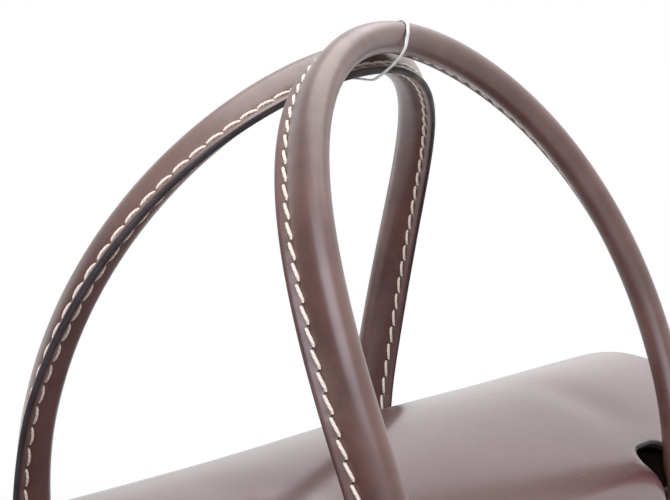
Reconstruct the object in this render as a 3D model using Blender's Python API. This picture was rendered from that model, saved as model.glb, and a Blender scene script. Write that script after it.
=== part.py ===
# Leather satchel: two rolled handles over a crowned flap, sewn body, lining, pocket and feet.
# Metres, +Z up. X runs along the bag, the front faces -Y, and the feet stand on z = 0.
import bpy
from math import atan, cos, hypot, pi, radians, sin, tan
from mathutils import Matrix, Vector

# Bag body
panel_length = 0.362        # front and back panels, end to end
rim_depth = 0.121           # outer faces, front to back, at the rim
belly_depth = 0.158         # how far the faces bow out below it
base_depth = 0.149          # outer faces at the base
body_height = 0.243         # from the base's underside to the rim
panel_leather = 0.0024
foot_height = 0.010
seam_gap = 0.0003           # between pieces that lie on each other

# Crowned top: a ridge that falls more and more steeply to the front and the back
ridge_lift_height = 0.0338  # the flap's ridge above the rim
ridge_roundness = 0.0394
crown_slope = 0.8           # what the fall tends to, a ratio
shoulder_radius = 0.009     # where the back panel turns over onto the crown

# Flap
flap_overhang = 0.002       # past the panels, at each end
flap_leather = 0.0022
flap_lining_leather = 0.001
hinge_setback = 0.052       # the fold line, behind the bag's middle
lip_gap = 0.0005            # between the lip's lining and the front panel
lip_radius = 0.013          # where the flap turns down into the lip
lip_drop = 0.036            # the lip's lower edge, below the rim
slot_inner = 0.0800         # each slot for a front handle's leg, from the middle
slot_outer = 0.1085
slot_reach = 0.0510         # how far in front of the middle a slot ends
slot_end_radius = 0.010
lobe_radius = 0.014
lip_corner_radius = 0.026
lining_margin = 0.0015      # the flap's lining stops short of its edges
cutter_overrun = 0.02

# Hidden magnets
magnet_radius = 0.007
magnet_thickness = 0.0012
magnet_play = 0.0001
magnet_offset = 0.042       # from the middle
magnet_above_lip_edge = 0.013

# Gussets and base
gusset_leather = 0.0018
gusset_inset = 0.010        # the web's outer face, in from the panels' ends
gusset_edge_inset = 0.001   # the flanges' edges
gusset_turn_radius = 0.004
gusset_fold = 0.012         # how far the web folds in at the rim
gusset_rise = 0.020         # the web's top edge above the rim, at the middle
tray_leather = 0.0024
tray_side = 0.024           # how far the base turns up over the panels
tray_corner_radius = 0.003
tray_gap = 0.0004
board_thickness = 0.003
board_corner_radius = 0.006

# Feet
foot_radius = 0.0075
foot_flat_radius = 0.0045
foot_dome_share = 0.8       # how much of its height the dome takes
foot_end_inset = 0.033      # from the panels' ends
foot_face_inset = 0.0225    # from the base's outer faces
stem_radius = 0.0016
stem_play = 0.0003

# Lining and pocket
lining_cloth = 0.0012
lining_gap = 0.0006
lining_corner_radius = 0.007
lining_below_rim = 0.002
pocket_length = 0.190
pocket_top = 0.206          # heights above the ground
pocket_bottom = 0.118
pocket_bulge = 0.009
pocket_margin = 0.022
pocket_cloth = 0.0014

# Handles
tube_radius = 0.005
cover_leather = 0.0015
core_play = 0.0003
flange_width = 0.0057       # past the tube
flange_thickness = 0.0026
flange_bevel = 0.0006
crease_place = 0.0069       # where the plies leave the flange for the tube, from its middle
crease_rise = 50.0          # degrees off the flange
crease_meets = 68.0         # degrees round the tube, from the flange
arch_half_span = 0.0919
arch_height = 0.1471          # measured along the leaning arch
arch_shoulder_out = 0.0188
arch_shoulder_up = 0.1039
arch_crown_pull = 0.0466
arch_drop = 0.0148          # where the arch starts, below the ridge
arch_plane = 0.0644         # the arch's foot, in front of or behind the middle
leg_length = 0.024          # from the fold up to the arch
leg_offset = 0.0905
end_half_width = 0.0065     # the flattened ends
end_half_thickness = 0.0022
flatten_length = 0.017
fold_flare = 0.12           # how much the flattened end leans out from its panel, a slope
flange_start = 0.012        # above the fold
flange_full = 0.024
swell_share = 0.09          # how much fatter the tube is at its foot
swell_length = 0.050        # above the fold
core_start = 0.0175

# How each handle leans: degrees, and shifts of its crest in metres
front_lean = 13.7
front_bow = 17.1
front_crest_shift = -0.0053
front_crest_pull = -0.0042
front_crest_twist = -0.001
front_turn_leg = 132.0        # where the flange points, at the foot and at the crest
front_turn_crest = 76.0
front_turn_skew = 8.0         # more at the right leg and less at the left one
front_turn_power = 2.0        # how late the turn comes
back_lean = 7.6
back_bow = 35.9
back_crest_shift = 0.0093
back_crest_pull = 0.001
back_crest_twist = 0.0093
back_turn_leg = 147.0
back_turn_crest = 64.0
back_turn_skew = -24.0
back_turn_power = 1.2

# Tabs that the handles are sewn by
tab_half_width = 0.009
tab_leather = 0.0024
tab_length = 0.060
tab_round_share = 0.98      # how far round its end the tab's edge is drawn

# Thread round both crests
thread_radius = 0.0004
thread_gap = 0.0004
thread_place = -0.0008      # along the bag
thread_slant = 0.0044       # how far to each side of that place it runs aslant
thread_follow_share = 1.6   # how far to each side it bears on the crests, in tube radii
strand_spread_share = 0.9   # each strand's middle from the pair's, in thread radii

# Derived lengths, heights and depths
flap_length = panel_length + 2 * flap_overhang
gusset_web = panel_length / 2 - gusset_inset
gusset_flange = panel_length / 2 - gusset_edge_inset
foot_offset = panel_length / 2 - foot_end_inset
foot_depth_offset = base_depth / 2 - foot_face_inset
rim_height = foot_height + body_height
ridge_height = rim_height + ridge_lift_height
flap_thickness = flap_leather + seam_gap + flap_lining_leather
inner_floor = foot_height + tray_leather + seam_gap
rim_slope = (belly_depth - rim_depth) / body_height
arch_level = ridge_height - arch_drop
fold_level = arch_level - leg_length


def finish(name, verts, faces, finish_name, smooth=None):
    mesh = bpy.data.meshes.new(name)
    mesh.from_pydata([tuple(point) for point in verts], [], faces)
    mesh.materials.append(materials[finish_name])
    if smooth:
        mesh.shade_smooth()
        mesh.set_sharp_from_angle(angle=radians(smooth))
    piece = bpy.data.objects.new(name, mesh)
    bpy.context.scene.collection.objects.link(piece)
    return piece


def finish_material(name, colour, roughness, metallic=0.0):
    material = bpy.data.materials.new(name)
    material.use_nodes = True
    shader = material.node_tree.nodes["Principled BSDF"]
    shader.inputs["Base Color"].default_value = (*colour, 1.0)
    shader.inputs["Roughness"].default_value = roughness
    shader.inputs["Metallic"].default_value = metallic
    material.diffuse_color = (*colour, 1.0)
    return material


def carve(piece, cutter):
    """Cut a closed guide shape out of a piece"""
    cutter.hide_render = True
    cutter.display_type = "WIRE"
    cut = piece.modifiers.new(cutter.name, "BOOLEAN")
    cut.operation = "DIFFERENCE"
    cut.solver = "EXACT"
    cut.object = cutter


def make_axis(name, place):
    """An empty that stands on a joint's axis and carries what turns about it"""
    axis = bpy.data.objects.new(name, None)
    axis.location = place
    axis.empty_display_size = tube_radius
    bpy.context.scene.collection.objects.link(axis)
    return axis


def hang(axis, pieces):
    for piece in pieces:
        piece.parent = axis
        piece.matrix_parent_inverse = Matrix.Translation(-axis.location)


def smoothstep(share):
    share = min(max(share, 0.0), 1.0)
    return share * share * (3 - 2 * share)


def mix(a, b, share):
    return a + (b - a) * share


# Curves in a plane

def offset_line(points, distance):
    """The line moved to its left, as seen along it"""
    moved = []
    for index, (a, b) in enumerate(points):
        before = points[max(index - 1, 0)]
        after = points[min(index + 1, len(points) - 1)]
        run = Vector((a - before[0], b - before[1]))
        rise = Vector((after[0] - a, after[1] - b))
        if index == 0:
            run = rise
        if index == len(points) - 1:
            rise = run
        normal = run.normalized() + rise.normalized()
        normal = Vector((-normal.y, normal.x)).normalized()
        stretch = normal.dot(Vector((-run.y, run.x)).normalized())
        moved.append((a + normal.x * distance / stretch, b + normal.y * distance / stretch))
    return moved


def rounded_line(points, radius, steps):
    """An open line whose inner corners are arcs"""
    line = [points[0]]
    for before, corner, after in zip(points, points[1:], points[2:]):
        corner = Vector(corner)
        back = (Vector(before) - corner).normalized()
        ahead = (Vector(after) - corner).normalized()
        half = back.angle(ahead) / 2
        reach = radius / abs(sin(half) / cos(half))
        start = corner + back * reach
        middle = corner + (back + ahead).normalized() * (radius / sin(half))
        arm = start - middle
        turn = back.cross(ahead)
        sweep = (pi - 2 * half) * (1 if turn > 0 else -1)
        for step in range(steps + 1):
            angle = -sweep * step / steps
            line.append((middle.x + arm.x * cos(angle) - arm.y * sin(angle),
                         middle.y + arm.x * sin(angle) + arm.y * cos(angle)))
    line.append(points[-1])
    return line


def face_depth(height):
    """Outer face of the front and back panels, from the middle"""
    share = (height - foot_height) / body_height
    ends = (1 - share) ** 2 * base_depth + share ** 2 * rim_depth
    return (ends + 2 * share * (1 - share) * belly_depth) / 2


def crown_height(depth):
    fall = hypot(depth, ridge_roundness) - ridge_roundness
    return ridge_height - crown_slope * fall


def crown_fall(depth):
    """Angle of the crown below level, at a depth from the middle"""
    return atan(crown_slope * depth / hypot(depth, ridge_roundness))


def shoulder_line(face, radius, crown_from, line_to, crown_steps, arc_steps):
    """Crown, turn and face as one line of (depth, height), from the crown outwards"""
    lean = atan(rim_slope)
    low, high = 0.0, face
    for step in range(60):
        turn_at = (low + high) / 2
        fall = crown_fall(turn_at)
        centre = (turn_at - radius * sin(fall), crown_height(turn_at) - radius * cos(fall))
        room = (face - rim_slope * (centre[1] - rim_height) - centre[0]) * cos(lean)
        if room > radius:
            low = turn_at
        else:
            high = turn_at
    line = []
    for step in range(crown_steps):
        depth = mix(crown_from, turn_at, step / crown_steps)
        line.append((depth, crown_height(depth)))
    for step in range(arc_steps + 1):
        angle = mix(pi / 2 - fall, lean, step / arc_steps)
        line.append((centre[0] + radius * cos(angle), centre[1] + radius * sin(angle)))
    line.append((face + rim_slope * (rim_height - line_to), line_to))
    return line


# Solids

def bent_sheet(name, outer, inner, length, finish_name):
    """A sheet whose section is two lines of (depth, height), drawn out along the bag"""
    count = len(outer)
    verts = []
    for end in (-length / 2, length / 2):
        verts += [(end, depth, height) for depth, height in outer]
        verts += [(end, depth, height) for depth, height in inner]
    faces = []
    far = 2 * count
    for index in range(count - 1):
        after = index + 1
        faces.append((index, after, far + after, far + index))
        faces.append((count + after, count + index, far + count + index, far + count + after))
        faces.append((after, index, count + index, count + after))
        faces.append((far + index, far + after, far + count + after, far + count + index))
    faces.append((0, far, far + count, count))
    faces.append((count - 1, 2 * count - 1, far + 2 * count - 1, far + count - 1))
    return finish(name, verts, faces, finish_name)


def prism(name, outline, low, high, axis, finish_name="guide"):
    """A closed outline drawn out along Y or Z; it runs anticlockwise seen from the axis's far end"""
    count = len(outline)
    if axis == "Z":
        verts = [(a, b, low) for a, b in outline] + [(a, b, high) for a, b in outline]
    else:
        verts = [(a, low, b) for a, b in outline] + [(a, high, b) for a, b in outline]
        verts = verts[count:] + verts[:count]
    faces = [tuple(reversed(range(count))), tuple(range(count, 2 * count))]
    for index in range(count):
        after = (index + 1) % count
        faces.append((index, after, count + after, count + index))
    return finish(name, verts, faces, finish_name)


def turned(name, profile, place, sides, finish_name, direction=Vector((0, 0, 1))):
    """A profile of (radius, height) from the lower pole to the upper, turned round a direction"""
    turn = Vector((0, 0, 1)).rotation_difference(direction)
    verts = [place + turn @ Vector((0, 0, profile[0][1]))]
    for radius, height in profile[1:-1]:
        for side in range(sides):
            angle = 2 * pi * side / sides
            verts.append(place + turn @ Vector((radius * cos(angle), radius * sin(angle), height)))
    verts.append(place + turn @ Vector((0, 0, profile[-1][1])))
    faces = []
    rings = len(profile) - 2
    for side in range(sides):
        after = (side + 1) % sides
        faces.append((0, 1 + after, 1 + side))
        for ring in range(rings - 1):
            base = 1 + ring * sides
            faces.append((base + side, base + after, base + sides + after, base + sides + side))
        base = 1 + (rings - 1) * sides
        faces.append((base + side, base + after, len(verts) - 1))
    return finish(name, verts, faces, finish_name, 40)


def loft(name, rings, finish_name, closed_ends=True, smooth=None):
    """Rings of equally many points, joined one to the next"""
    count = len(rings[0])
    verts = [point for ring in rings for point in ring]
    faces = []
    for level in range(len(rings) - 1):
        for index in range(count):
            after = (index + 1) % count
            low = level * count
            faces.append((low + index, low + after, low + count + after, low + count + index))
    if closed_ends:
        faces.append(tuple(reversed(range(count))))
        faces.append(tuple(range(len(verts) - count, len(verts))))
    return finish(name, verts, faces, finish_name, smooth)


def plate(name, near, far, finish_name):
    """Two grids of points, one lying on the other, joined round their edges"""
    rows, columns = len(near), len(near[0])
    verts = [point for row in near for point in row] + [point for row in far for point in row]
    total = rows * columns
    faces = []
    for row in range(rows - 1):
        for column in range(columns - 1):
            a = row * columns + column
            b, c, d = a + 1, a + columns + 1, a + columns
            faces.append((a, b, c, d))
            faces.append((total + d, total + c, total + b, total + a))
    rim = [column for column in range(columns)]
    rim += [row * columns + columns - 1 for row in range(1, rows)]
    rim += [(rows - 1) * columns + column for column in range(columns - 2, -1, -1)]
    rim += [row * columns for row in range(rows - 2, 0, -1)]
    for index, a in enumerate(rim):
        b = rim[(index + 1) % len(rim)]
        faces.append((b, a, total + a, total + b))
    return finish(name, verts, faces, finish_name)


# Body panels

def panel_line(low, high, steps):
    heights = [mix(low, high, step / steps) for step in range(steps + 1)]
    return [(face_depth(height), height) for height in heights]


def make_front_panel():
    outer = panel_line(inner_floor + tray_corner_radius, rim_height, 10)
    inner = offset_line(outer, panel_leather)
    outer = [(-depth, height) for depth, height in reversed(outer)]
    inner = [(-depth, height) for depth, height in reversed(inner)]
    return bent_sheet("front_panel", outer, inner, panel_length, "leather")


def make_back_panel():
    top = shoulder_line(rim_depth / 2, shoulder_radius, hinge_setback, rim_height, 2, 6)
    wall = panel_line(inner_floor + tray_corner_radius, rim_height, 10)
    outer = top[:-1] + list(reversed(wall))
    inner = offset_line(outer, -panel_leather)
    return bent_sheet("back_panel", inner, outer, panel_length, "leather")


def fold_in(height, depth, half):
    """How far the gusset's web lies in from its flat plane"""
    share = (height - foot_height) / body_height
    return gusset_fold * share * share * cos(pi * depth / (2 * half)) ** 2


def make_gusset(name, side):
    """A channel that opens outwards, its flanges against the panels and its web folded in"""
    levels = 11
    near, far = [], []
    for level in range(levels + 1):
        row_near, row_far = [], []
        share = level / levels
        flat_height = mix(inner_floor, rim_height, share)
        half = face_depth(flat_height) - panel_leather - seam_gap
        inside = gusset_web - gusset_leather
        corners = [(gusset_flange, -half), (inside, -half), (inside, 0), (inside, half),
                   (gusset_flange, half)]
        line = rounded_line(corners[:3], gusset_turn_radius, 3)[:-1]
        straight = half - 2 * gusset_turn_radius
        for step in range(9):
            line.append((inside, mix(-straight, straight, step / 8)))
        line += rounded_line(corners[2:], gusset_turn_radius, 3)[1:]
        other = offset_line(line, -gusset_leather)
        for (x, y), (x2, y2) in zip(line, other):
            lift = gusset_rise * (1 - (y / half) ** 2) * share
            near_edge = smoothstep((abs(y) - half) / tray_corner_radius + 3)
            height = flat_height + lift + tray_corner_radius * (1 - share) * near_edge
            inward = fold_in(flat_height, y, half)
            row_near.append((side * (x - inward), y, height))
            row_far.append((side * (x2 - inward), y2, height))
        near.append(row_near)
        far.append(row_far)
    if side > 0:
        near, far = far, near
    return plate(name, near, far, "leather")


def make_tray():
    wall = foot_height + tray_leather
    bottom = face_depth(wall) + tray_gap
    top = face_depth(wall + tray_side) + tray_gap
    corners = [(-top, wall + tray_side), (-bottom, wall), (bottom, wall), (top, wall + tray_side)]
    inner = rounded_line(corners, tray_corner_radius, 4)
    outer = offset_line(inner, -tray_leather)
    return bent_sheet("base_panel", inner, outer, panel_length, "leather")


def make_board():
    half_length = gusset_web - gusset_leather - lining_gap
    low = inner_floor
    half_depth = face_depth(low) - panel_leather - seam_gap
    corner = board_corner_radius
    outline = rounded_line([(0, -half_depth), (half_length, -half_depth), (half_length, half_depth),
                            (-half_length, half_depth), (-half_length, -half_depth), (0, -half_depth)],
                           corner, 4)[1:-1]
    return prism("base_board", outline, low, low + board_thickness, "Z", "board")


def foot_places():
    places = []
    for side_x in (-1, 1):
        for side_y in (-1, 1):
            places.append(Vector((side_x * foot_offset, side_y * foot_depth_offset, 0)))
    return places


def make_feet(tray, board):
    names = ("foot_left_front", "foot_left_back", "foot_right_front", "foot_right_back")
    seat = foot_height - seam_gap
    top = inner_floor + board_thickness
    bore = stem_radius + stem_play
    for name, place in zip(names, foot_places()):
        profile = [(0, 0), (foot_flat_radius, 0)]
        for step in range(1, 5):
            angle = pi / 2 * step / 4
            dome = seat * foot_dome_share
            profile.append((mix(foot_flat_radius, foot_radius, sin(angle)), dome * (1 - cos(angle))))
        profile += [(foot_radius, seat), (stem_radius, seat), (stem_radius, top), (0, top)]
        turned(name, profile, place, 16, "nickel")
        hole = [(0, 0), (bore, 0), (bore, top + cutter_overrun), (0, top + cutter_overrun)]
        guide = turned(name + "_hole", hole, place, 12, "guide")
        carve(tray, guide)
        carve(board, guide)


# Flap

def flap_line():
    """The flap's outer face from the fold forwards, as (depth, height) with the front at -Y"""
    face = rim_depth / 2 + lip_gap + flap_thickness
    front = shoulder_line(face, lip_radius, 0.0, rim_height - lip_drop, 7, 8)
    line = []
    for step in range(6):
        depth = mix(hinge_setback - seam_gap, 0.0, step / 6)
        line.append((depth, crown_height(depth)))
    return line + [(-depth, height) for depth, height in front]


def slot_guide(name, side, margin):
    inner, outer = slot_inner - margin, slot_outer + margin
    reach = -slot_reach + margin
    front = -belly_depth
    line = rounded_line([(inner, front), (inner, reach), (outer, reach), (outer, front)],
                        slot_end_radius + margin, 8)
    line = [(side * x, y) for x, y in line]
    if side > 0:
        line.reverse()
    return prism(name, line, rim_height - lip_drop - cutter_overrun, ridge_height + cutter_overrun, "Z")


def corner_guide(name, x, side, radius, margin):
    """What rounds a lower corner of the lip; side points out of the lobe"""
    edge = rim_height - lip_drop + margin
    x = x - side * margin
    out = cutter_overrun
    line = [(x + side * out, edge - out), (x + side * out, edge + radius)]
    for step in range(7):
        angle = pi / 2 * step / 6
        line.append((x - side * radius + side * radius * cos(angle), edge + radius - radius * sin(angle)))
    line.append((x - side * radius, edge - out))
    if side < 0:
        line.reverse()
    return prism(name, line, -belly_depth, -slot_reach, "Y")


def trim_flap(piece, margin):
    for name, side in (("left", -1), ("right", 1)):
        carve(piece, slot_guide(piece.name + "_slot_" + name, side, margin))
        places = ((slot_inner, 1, lobe_radius), (slot_outer, -1, lobe_radius),
                  (flap_length / 2, 1, lip_corner_radius))
        for index, (x, out, radius) in enumerate(places):
            guide_name = piece.name + "_corner_" + name + str(index)
            carve(piece, corner_guide(guide_name, side * x, side * out, radius, margin))


def make_flap():
    outer = flap_line()
    inner = offset_line(outer, flap_leather)
    flap = bent_sheet("flap", outer, inner, flap_length, "leather")
    trim_flap(flap, 0.0)
    return flap


def make_flap_lining():
    outer = offset_line(flap_line(), flap_leather + seam_gap)
    inner = offset_line(outer, flap_lining_leather)
    lift = Vector((-sin(atan(rim_slope)), cos(atan(rim_slope)))) * lining_margin
    for line in (outer, inner):
        fold = Vector(line[1]) - Vector(line[0])
        start = Vector(line[0]) + fold.normalized() * lining_margin
        line[0] = tuple(start)
        line[-1] = (line[-1][0] - lift.x, line[-1][1] + lift.y)
    lining = bent_sheet("flap_lining", outer, inner, flap_length - 2 * lining_margin, "suede")
    trim_flap(lining, lining_margin)
    return lining


def make_magnets(flap, panel):
    """Discs let into the inner faces of the lip and of the front panel"""
    lean = atan(rim_slope)
    out = Vector((0, -cos(lean), sin(lean)))
    height = rim_height - lip_drop + magnet_above_lip_edge
    lip_depth = rim_depth / 2 + lip_gap + flap_thickness + rim_slope * (rim_height - height)
    lip_inner = lip_depth - flap_leather / cos(lean)
    share = (height - foot_height) / body_height
    slope = ((base_depth - belly_depth) * (1 - share) + (belly_depth - rim_depth) * share) / body_height
    panel_out = Vector((0, -cos(atan(slope)), sin(atan(slope))))
    panel_inner = face_depth(height) - panel_leather / cos(atan(slope))
    discs = {"flap": [], "panel": []}
    for name, side in (("left", -1), ("right", 1)):
        for kind, host, depth, way in (("flap", flap, lip_inner, out),
                                       ("panel", panel, panel_inner, panel_out)):
            place = Vector((side * magnet_offset, -depth, height))
            bore = magnet_radius + magnet_play
            deep = magnet_thickness + magnet_play
            hole = [(0, -deep), (bore, -deep), (bore, deep), (0, deep)]
            carve(host, turned(kind + "_seat_" + name, hole, place, 20, "guide", way))
            disc = [(0, 0), (magnet_radius, 0), (magnet_radius, magnet_thickness), (0, magnet_thickness)]
            discs[kind].append(turned(kind + "_magnet_" + name, disc, place, 20, "magnet", way))
    return discs["flap"]


# Lining and pocket

def lining_half_depth(height):
    return face_depth(height) - panel_leather - lining_gap


def lining_ring(height, inset, place_height):
    half_length = gusset_web - gusset_leather - lining_gap - inset
    half_depth = lining_half_depth(height) - inset
    corner = lining_corner_radius - inset
    line = rounded_line([(0, -half_depth), (half_length, -half_depth), (half_length, 0)], corner, 3)[:-1]
    for step in range(7):
        line.append((half_length, mix(-half_depth, half_depth, (step + 2) / 10)))
    line += rounded_line([(half_length, 0), (half_length, half_depth), (0, half_depth)], corner, 3)[1:-1]
    line = line[1:]
    line += [(-x, -y) for x, y in line]
    ring = []
    for x, y in line:
        inward = fold_in(height, y, half_depth)
        ring.append((x - (inward if x > 0 else -inward), y, place_height))
    return ring


def make_lining():
    floor = inner_floor + board_thickness + seam_gap
    top = rim_height - lining_below_rim
    levels = 8
    rings = []
    for level in range(levels + 1):
        height = mix(floor, top, level / levels)
        rings.append(lining_ring(height, 0.0, height))
    for level in range(levels, -1, -1):
        height = mix(floor + lining_cloth, top, level / levels)
        rings.append(lining_ring(height, lining_cloth, height))
    return loft("lining", rings, "cloth")


def make_pocket():
    columns, rows = 16, 8
    front, back = [], []
    for row in range(rows + 1):
        height = mix(pocket_bottom, pocket_top, row / rows)
        wall = lining_half_depth(height) - lining_cloth - seam_gap
        line_front, line_back = [], []
        for column in range(columns + 1):
            x = mix(-pocket_length / 2, pocket_length / 2, column / columns)
            from_side = smoothstep((pocket_length / 2 - abs(x)) / pocket_margin)
            from_bottom = smoothstep((height - pocket_bottom) / pocket_margin)
            stand = pocket_bulge * from_side * from_bottom
            line_back.append((x, wall - stand, height))
            line_front.append((x, wall - stand - pocket_cloth, height))
        front.append(line_front)
        back.append(line_back)
    return plate("slip_pocket", front, back, "cloth")


# Handles

def arch_stations(sign, lean, bow, shift, pull, twist):
    """Centres of the rolled tube from the left fold to the right one, with the share of the rise"""
    steps = 20
    half = []
    for step in range(steps + 1):
        t = step / steps
        a, b, c, d = (1 - t) ** 3, 3 * (1 - t) ** 2 * t, 3 * (1 - t) * t * t, t ** 3
        x = a * arch_half_span + b * (arch_half_span + arch_shoulder_out) + c * arch_crown_pull
        rise = b * arch_shoulder_up + c * arch_height + d * arch_height
        half.append((x, rise))
    inward, up = [0.0], [0.0]
    for (x0, rise0), (x1, rise1) in zip(half, half[1:]):
        angle = radians(lean + bow * (rise0 + rise1) / 2 / arch_height)
        inward.append(inward[-1] + sin(angle) * (rise1 - rise0))
        up.append(up[-1] + cos(angle) * (rise1 - rise0))
    legs = []
    for side in (-1, 1):
        leg = []
        for (x, rise), y, z in zip(half, inward, up):
            share = rise / arch_height
            crest = share * share
            depth = sign * (arch_plane - y) + pull * crest + twist * side * x / arch_half_span * share
            leg.append((Vector((side * x + shift * crest, depth, arch_level + z)), share))
        fold = Vector((side * leg_offset, sign * (face_depth(fold_level) + lip_gap + end_half_thickness),
                       fold_level))
        joint, way = leg[2][0], (leg[3][0] - leg[1][0]).normalized()
        reach = (joint - fold).length
        out = Vector((0, sign * fold_flare, 1)).normalized()
        foot = []
        for step in range(6):
            t = step / 6
            a, b = 2 * t ** 3 - 3 * t * t + 1, t ** 3 - 2 * t * t + t
            c, d = -2 * t ** 3 + 3 * t * t, t ** 3 - t * t
            place = fold * a + out * reach * b + joint * c + way * reach * d
            foot.append((place, leg[2][1] * t))
        legs.append(foot + leg[2:])
    left, right = legs
    right.reverse()
    return left + right[1:]


def handle_frames(stations, sign, turn_leg, turn_crest, turn_skew, turn_power):
    """At each station its centre, flange direction, cross direction and depth and span axes"""
    frames = []
    for index, (centre, share) in enumerate(stations):
        before = stations[max(index - 1, 0)][0]
        after = stations[min(index + 1, len(stations) - 1)][0]
        along = (after - before).normalized()
        if index in (0, len(stations) - 1):
            along = Vector((0, 0, 1 if index == 0 else -1))
        depth_axis = Vector((0, 1, 0))
        depth_axis = (depth_axis - along * depth_axis.dot(along)).normalized()
        inward = depth_axis.cross(along)
        turn = mix(turn_leg, turn_crest, share ** turn_power)
        turn = radians(turn + turn_skew * centre.x / arch_half_span)
        flange = inward * cos(turn) - depth_axis * sign * sin(turn)
        frames.append((centre, flange, along.cross(flange), depth_axis, inward))
    return frames


def flatten(offset, share, depth_axis, inward, half_thickness, half_width, radius):
    thin = mix(1.0, half_thickness / radius, share)
    wide = mix(1.0, half_width / radius, share)
    return depth_axis * offset.dot(depth_axis) * thin + inward * offset.dot(inward) * wide


def leg_heights(stations):
    """How far each station is from the nearer fold, along the handle"""
    run = [0.0]
    for (a, share_a), (b, share_b) in zip(stations, stations[1:]):
        run.append(run[-1] + (b - a).length)
    return [min(length, run[-1] - length) for length in run]


def crease_curve(radius, steps):
    """One ply's way from the flange onto the round tube, as (out, across) points"""
    half = flange_thickness / 2
    meet, rise = radians(crease_meets), radians(crease_rise)
    touch = (radius * cos(meet), radius * sin(meet))
    reach = touch[0] - crease_place + (touch[1] - half) * tan(meet)
    reach = reach / (sin(rise) * tan(meet) - cos(rise))
    bulge = (crease_place - reach * cos(rise), half + reach * sin(rise))
    curve = []
    for step in range(steps):
        t = step / steps
        a, b, c = (1 - t) ** 2, 2 * t * (1 - t), t * t
        curve.append((a * crease_place + b * bulge[0] + c * touch[0], a * half + b * bulge[1] + c * touch[1]))
    return curve


def swell(height):
    return 1 + swell_share * (1 - smoothstep(height / swell_length))


def cover_section(frame, height, round_steps):
    """The rolled cover's outline: a round tube whose two plies meet in a flat flange"""
    centre, flange, cross, depth_axis, inward = frame
    grow = smoothstep((height - flange_start) / (flange_full - flange_start))
    flat = 1 - smoothstep(height / flatten_length)
    half = flange_thickness / 2
    tip = tube_radius + flange_width
    side = [(tip, half - flange_bevel), (tip - flange_bevel, half)] + crease_curve(tube_radius, 3)
    for step in range(round_steps + 1):
        angle = mix(radians(crease_meets), pi, step / (round_steps + 0.5))
        side.append((tube_radius * cos(angle), tube_radius * sin(angle)))
    outline = side + [(out, -across) for out, across in reversed(side)]
    ring = []
    for index, (out, across) in enumerate(outline):
        angle = 2 * pi * (index + 0.5) / len(outline)
        out = mix(tube_radius * cos(angle), out, grow) * swell(height)
        across = mix(tube_radius * sin(angle), across, grow) * swell(height)
        offset = flatten(flange * out + cross * across, flat, depth_axis, inward,
                         end_half_thickness, end_half_width, tube_radius * swell(height))
        ring.append(centre + offset)
    return ring


def bore_section(frame, height, sides):
    centre, flange, cross, depth_axis, inward = frame
    flat = 1 - smoothstep(height / flatten_length)
    radius = tube_radius - cover_leather
    ring = []
    for side in range(sides):
        angle = 2 * pi * side / sides
        offset = flatten(flange * radius * cos(angle) + cross * radius * sin(angle), flat, depth_axis, inward,
                         end_half_thickness - cover_leather, end_half_width - cover_leather, radius)
        ring.append(centre + offset)
    return ring


def hollow_loft(name, outer_rings, inner_rings, finish_name):
    """A tube with an open bore; the rings at each end are joined face to face"""
    count, inner_count = len(outer_rings[0]), len(inner_rings[0])
    verts = [point for ring in outer_rings for point in ring]
    base = len(verts)
    verts += [point for ring in inner_rings for point in ring]
    faces = []
    for level in range(len(outer_rings) - 1):
        for index in range(count):
            after = (index + 1) % count
            low = level * count
            faces.append((low + index, low + after, low + count + after, low + count + index))
        for index in range(inner_count):
            after = (index + 1) % inner_count
            low = base + level * inner_count
            faces.append((low + after, low + index, low + inner_count + index, low + inner_count + after))
    for level, reverse in ((0, True), (len(outer_rings) - 1, False)):
        outer = list(range(level * count, (level + 1) * count))
        inner = list(range(base + level * inner_count, base + (level + 1) * inner_count))
        for face in bridge(verts, outer, inner):
            faces.append(tuple(reversed(face)) if reverse else face)
    return finish(name, verts, faces, finish_name, 40)


def bridge(verts, outer, inner):
    """Faces between two flat rings, each outer edge joined to its nearest inner point"""
    nearest = []
    for index in outer:
        gaps = [(verts[index] - verts[other]).length for other in inner]
        nearest.append(gaps.index(min(gaps)))
    faces = []
    count, inner_count = len(outer), len(inner)
    for index in range(count):
        after = (index + 1) % count
        here, there = nearest[index], nearest[after]
        faces.append((outer[index], outer[after], inner[there]))
        while here != there:
            step = (here + 1) % inner_count
            faces.append((outer[index], inner[step], inner[here]))
            here = step
    return faces


def make_handle(name, sign, stations, turns):
    frames = handle_frames(stations, sign, *turns)
    heights = leg_heights(stations)
    outer = [cover_section(frame, height, 4) for frame, height in zip(frames, heights)]
    bore = [bore_section(frame, height, 8) for frame, height in zip(frames, heights)]
    cover = hollow_loft(name + "_handle_cover", outer, bore, "handle_leather")
    core_radius = tube_radius - cover_leather - core_play
    rings = []
    for frame, height in zip(frames, heights):
        if height >= core_start:
            centre, flange, cross, depth_axis, inward = frame
            rings.append([centre + flange * core_radius * cos(2 * pi * side / 8)
                          + cross * core_radius * sin(2 * pi * side / 8) for side in range(8)])
    core = loft(name + "_handle_core", rings, "cord", True, 40)
    fold = Vector((0, sign * (face_depth(fold_level) + lip_gap + 2 * end_half_thickness), fold_level))
    axis = make_axis(name + "_handle_fold", fold)
    hang(axis, (cover, core))
    return outer, axis


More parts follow.
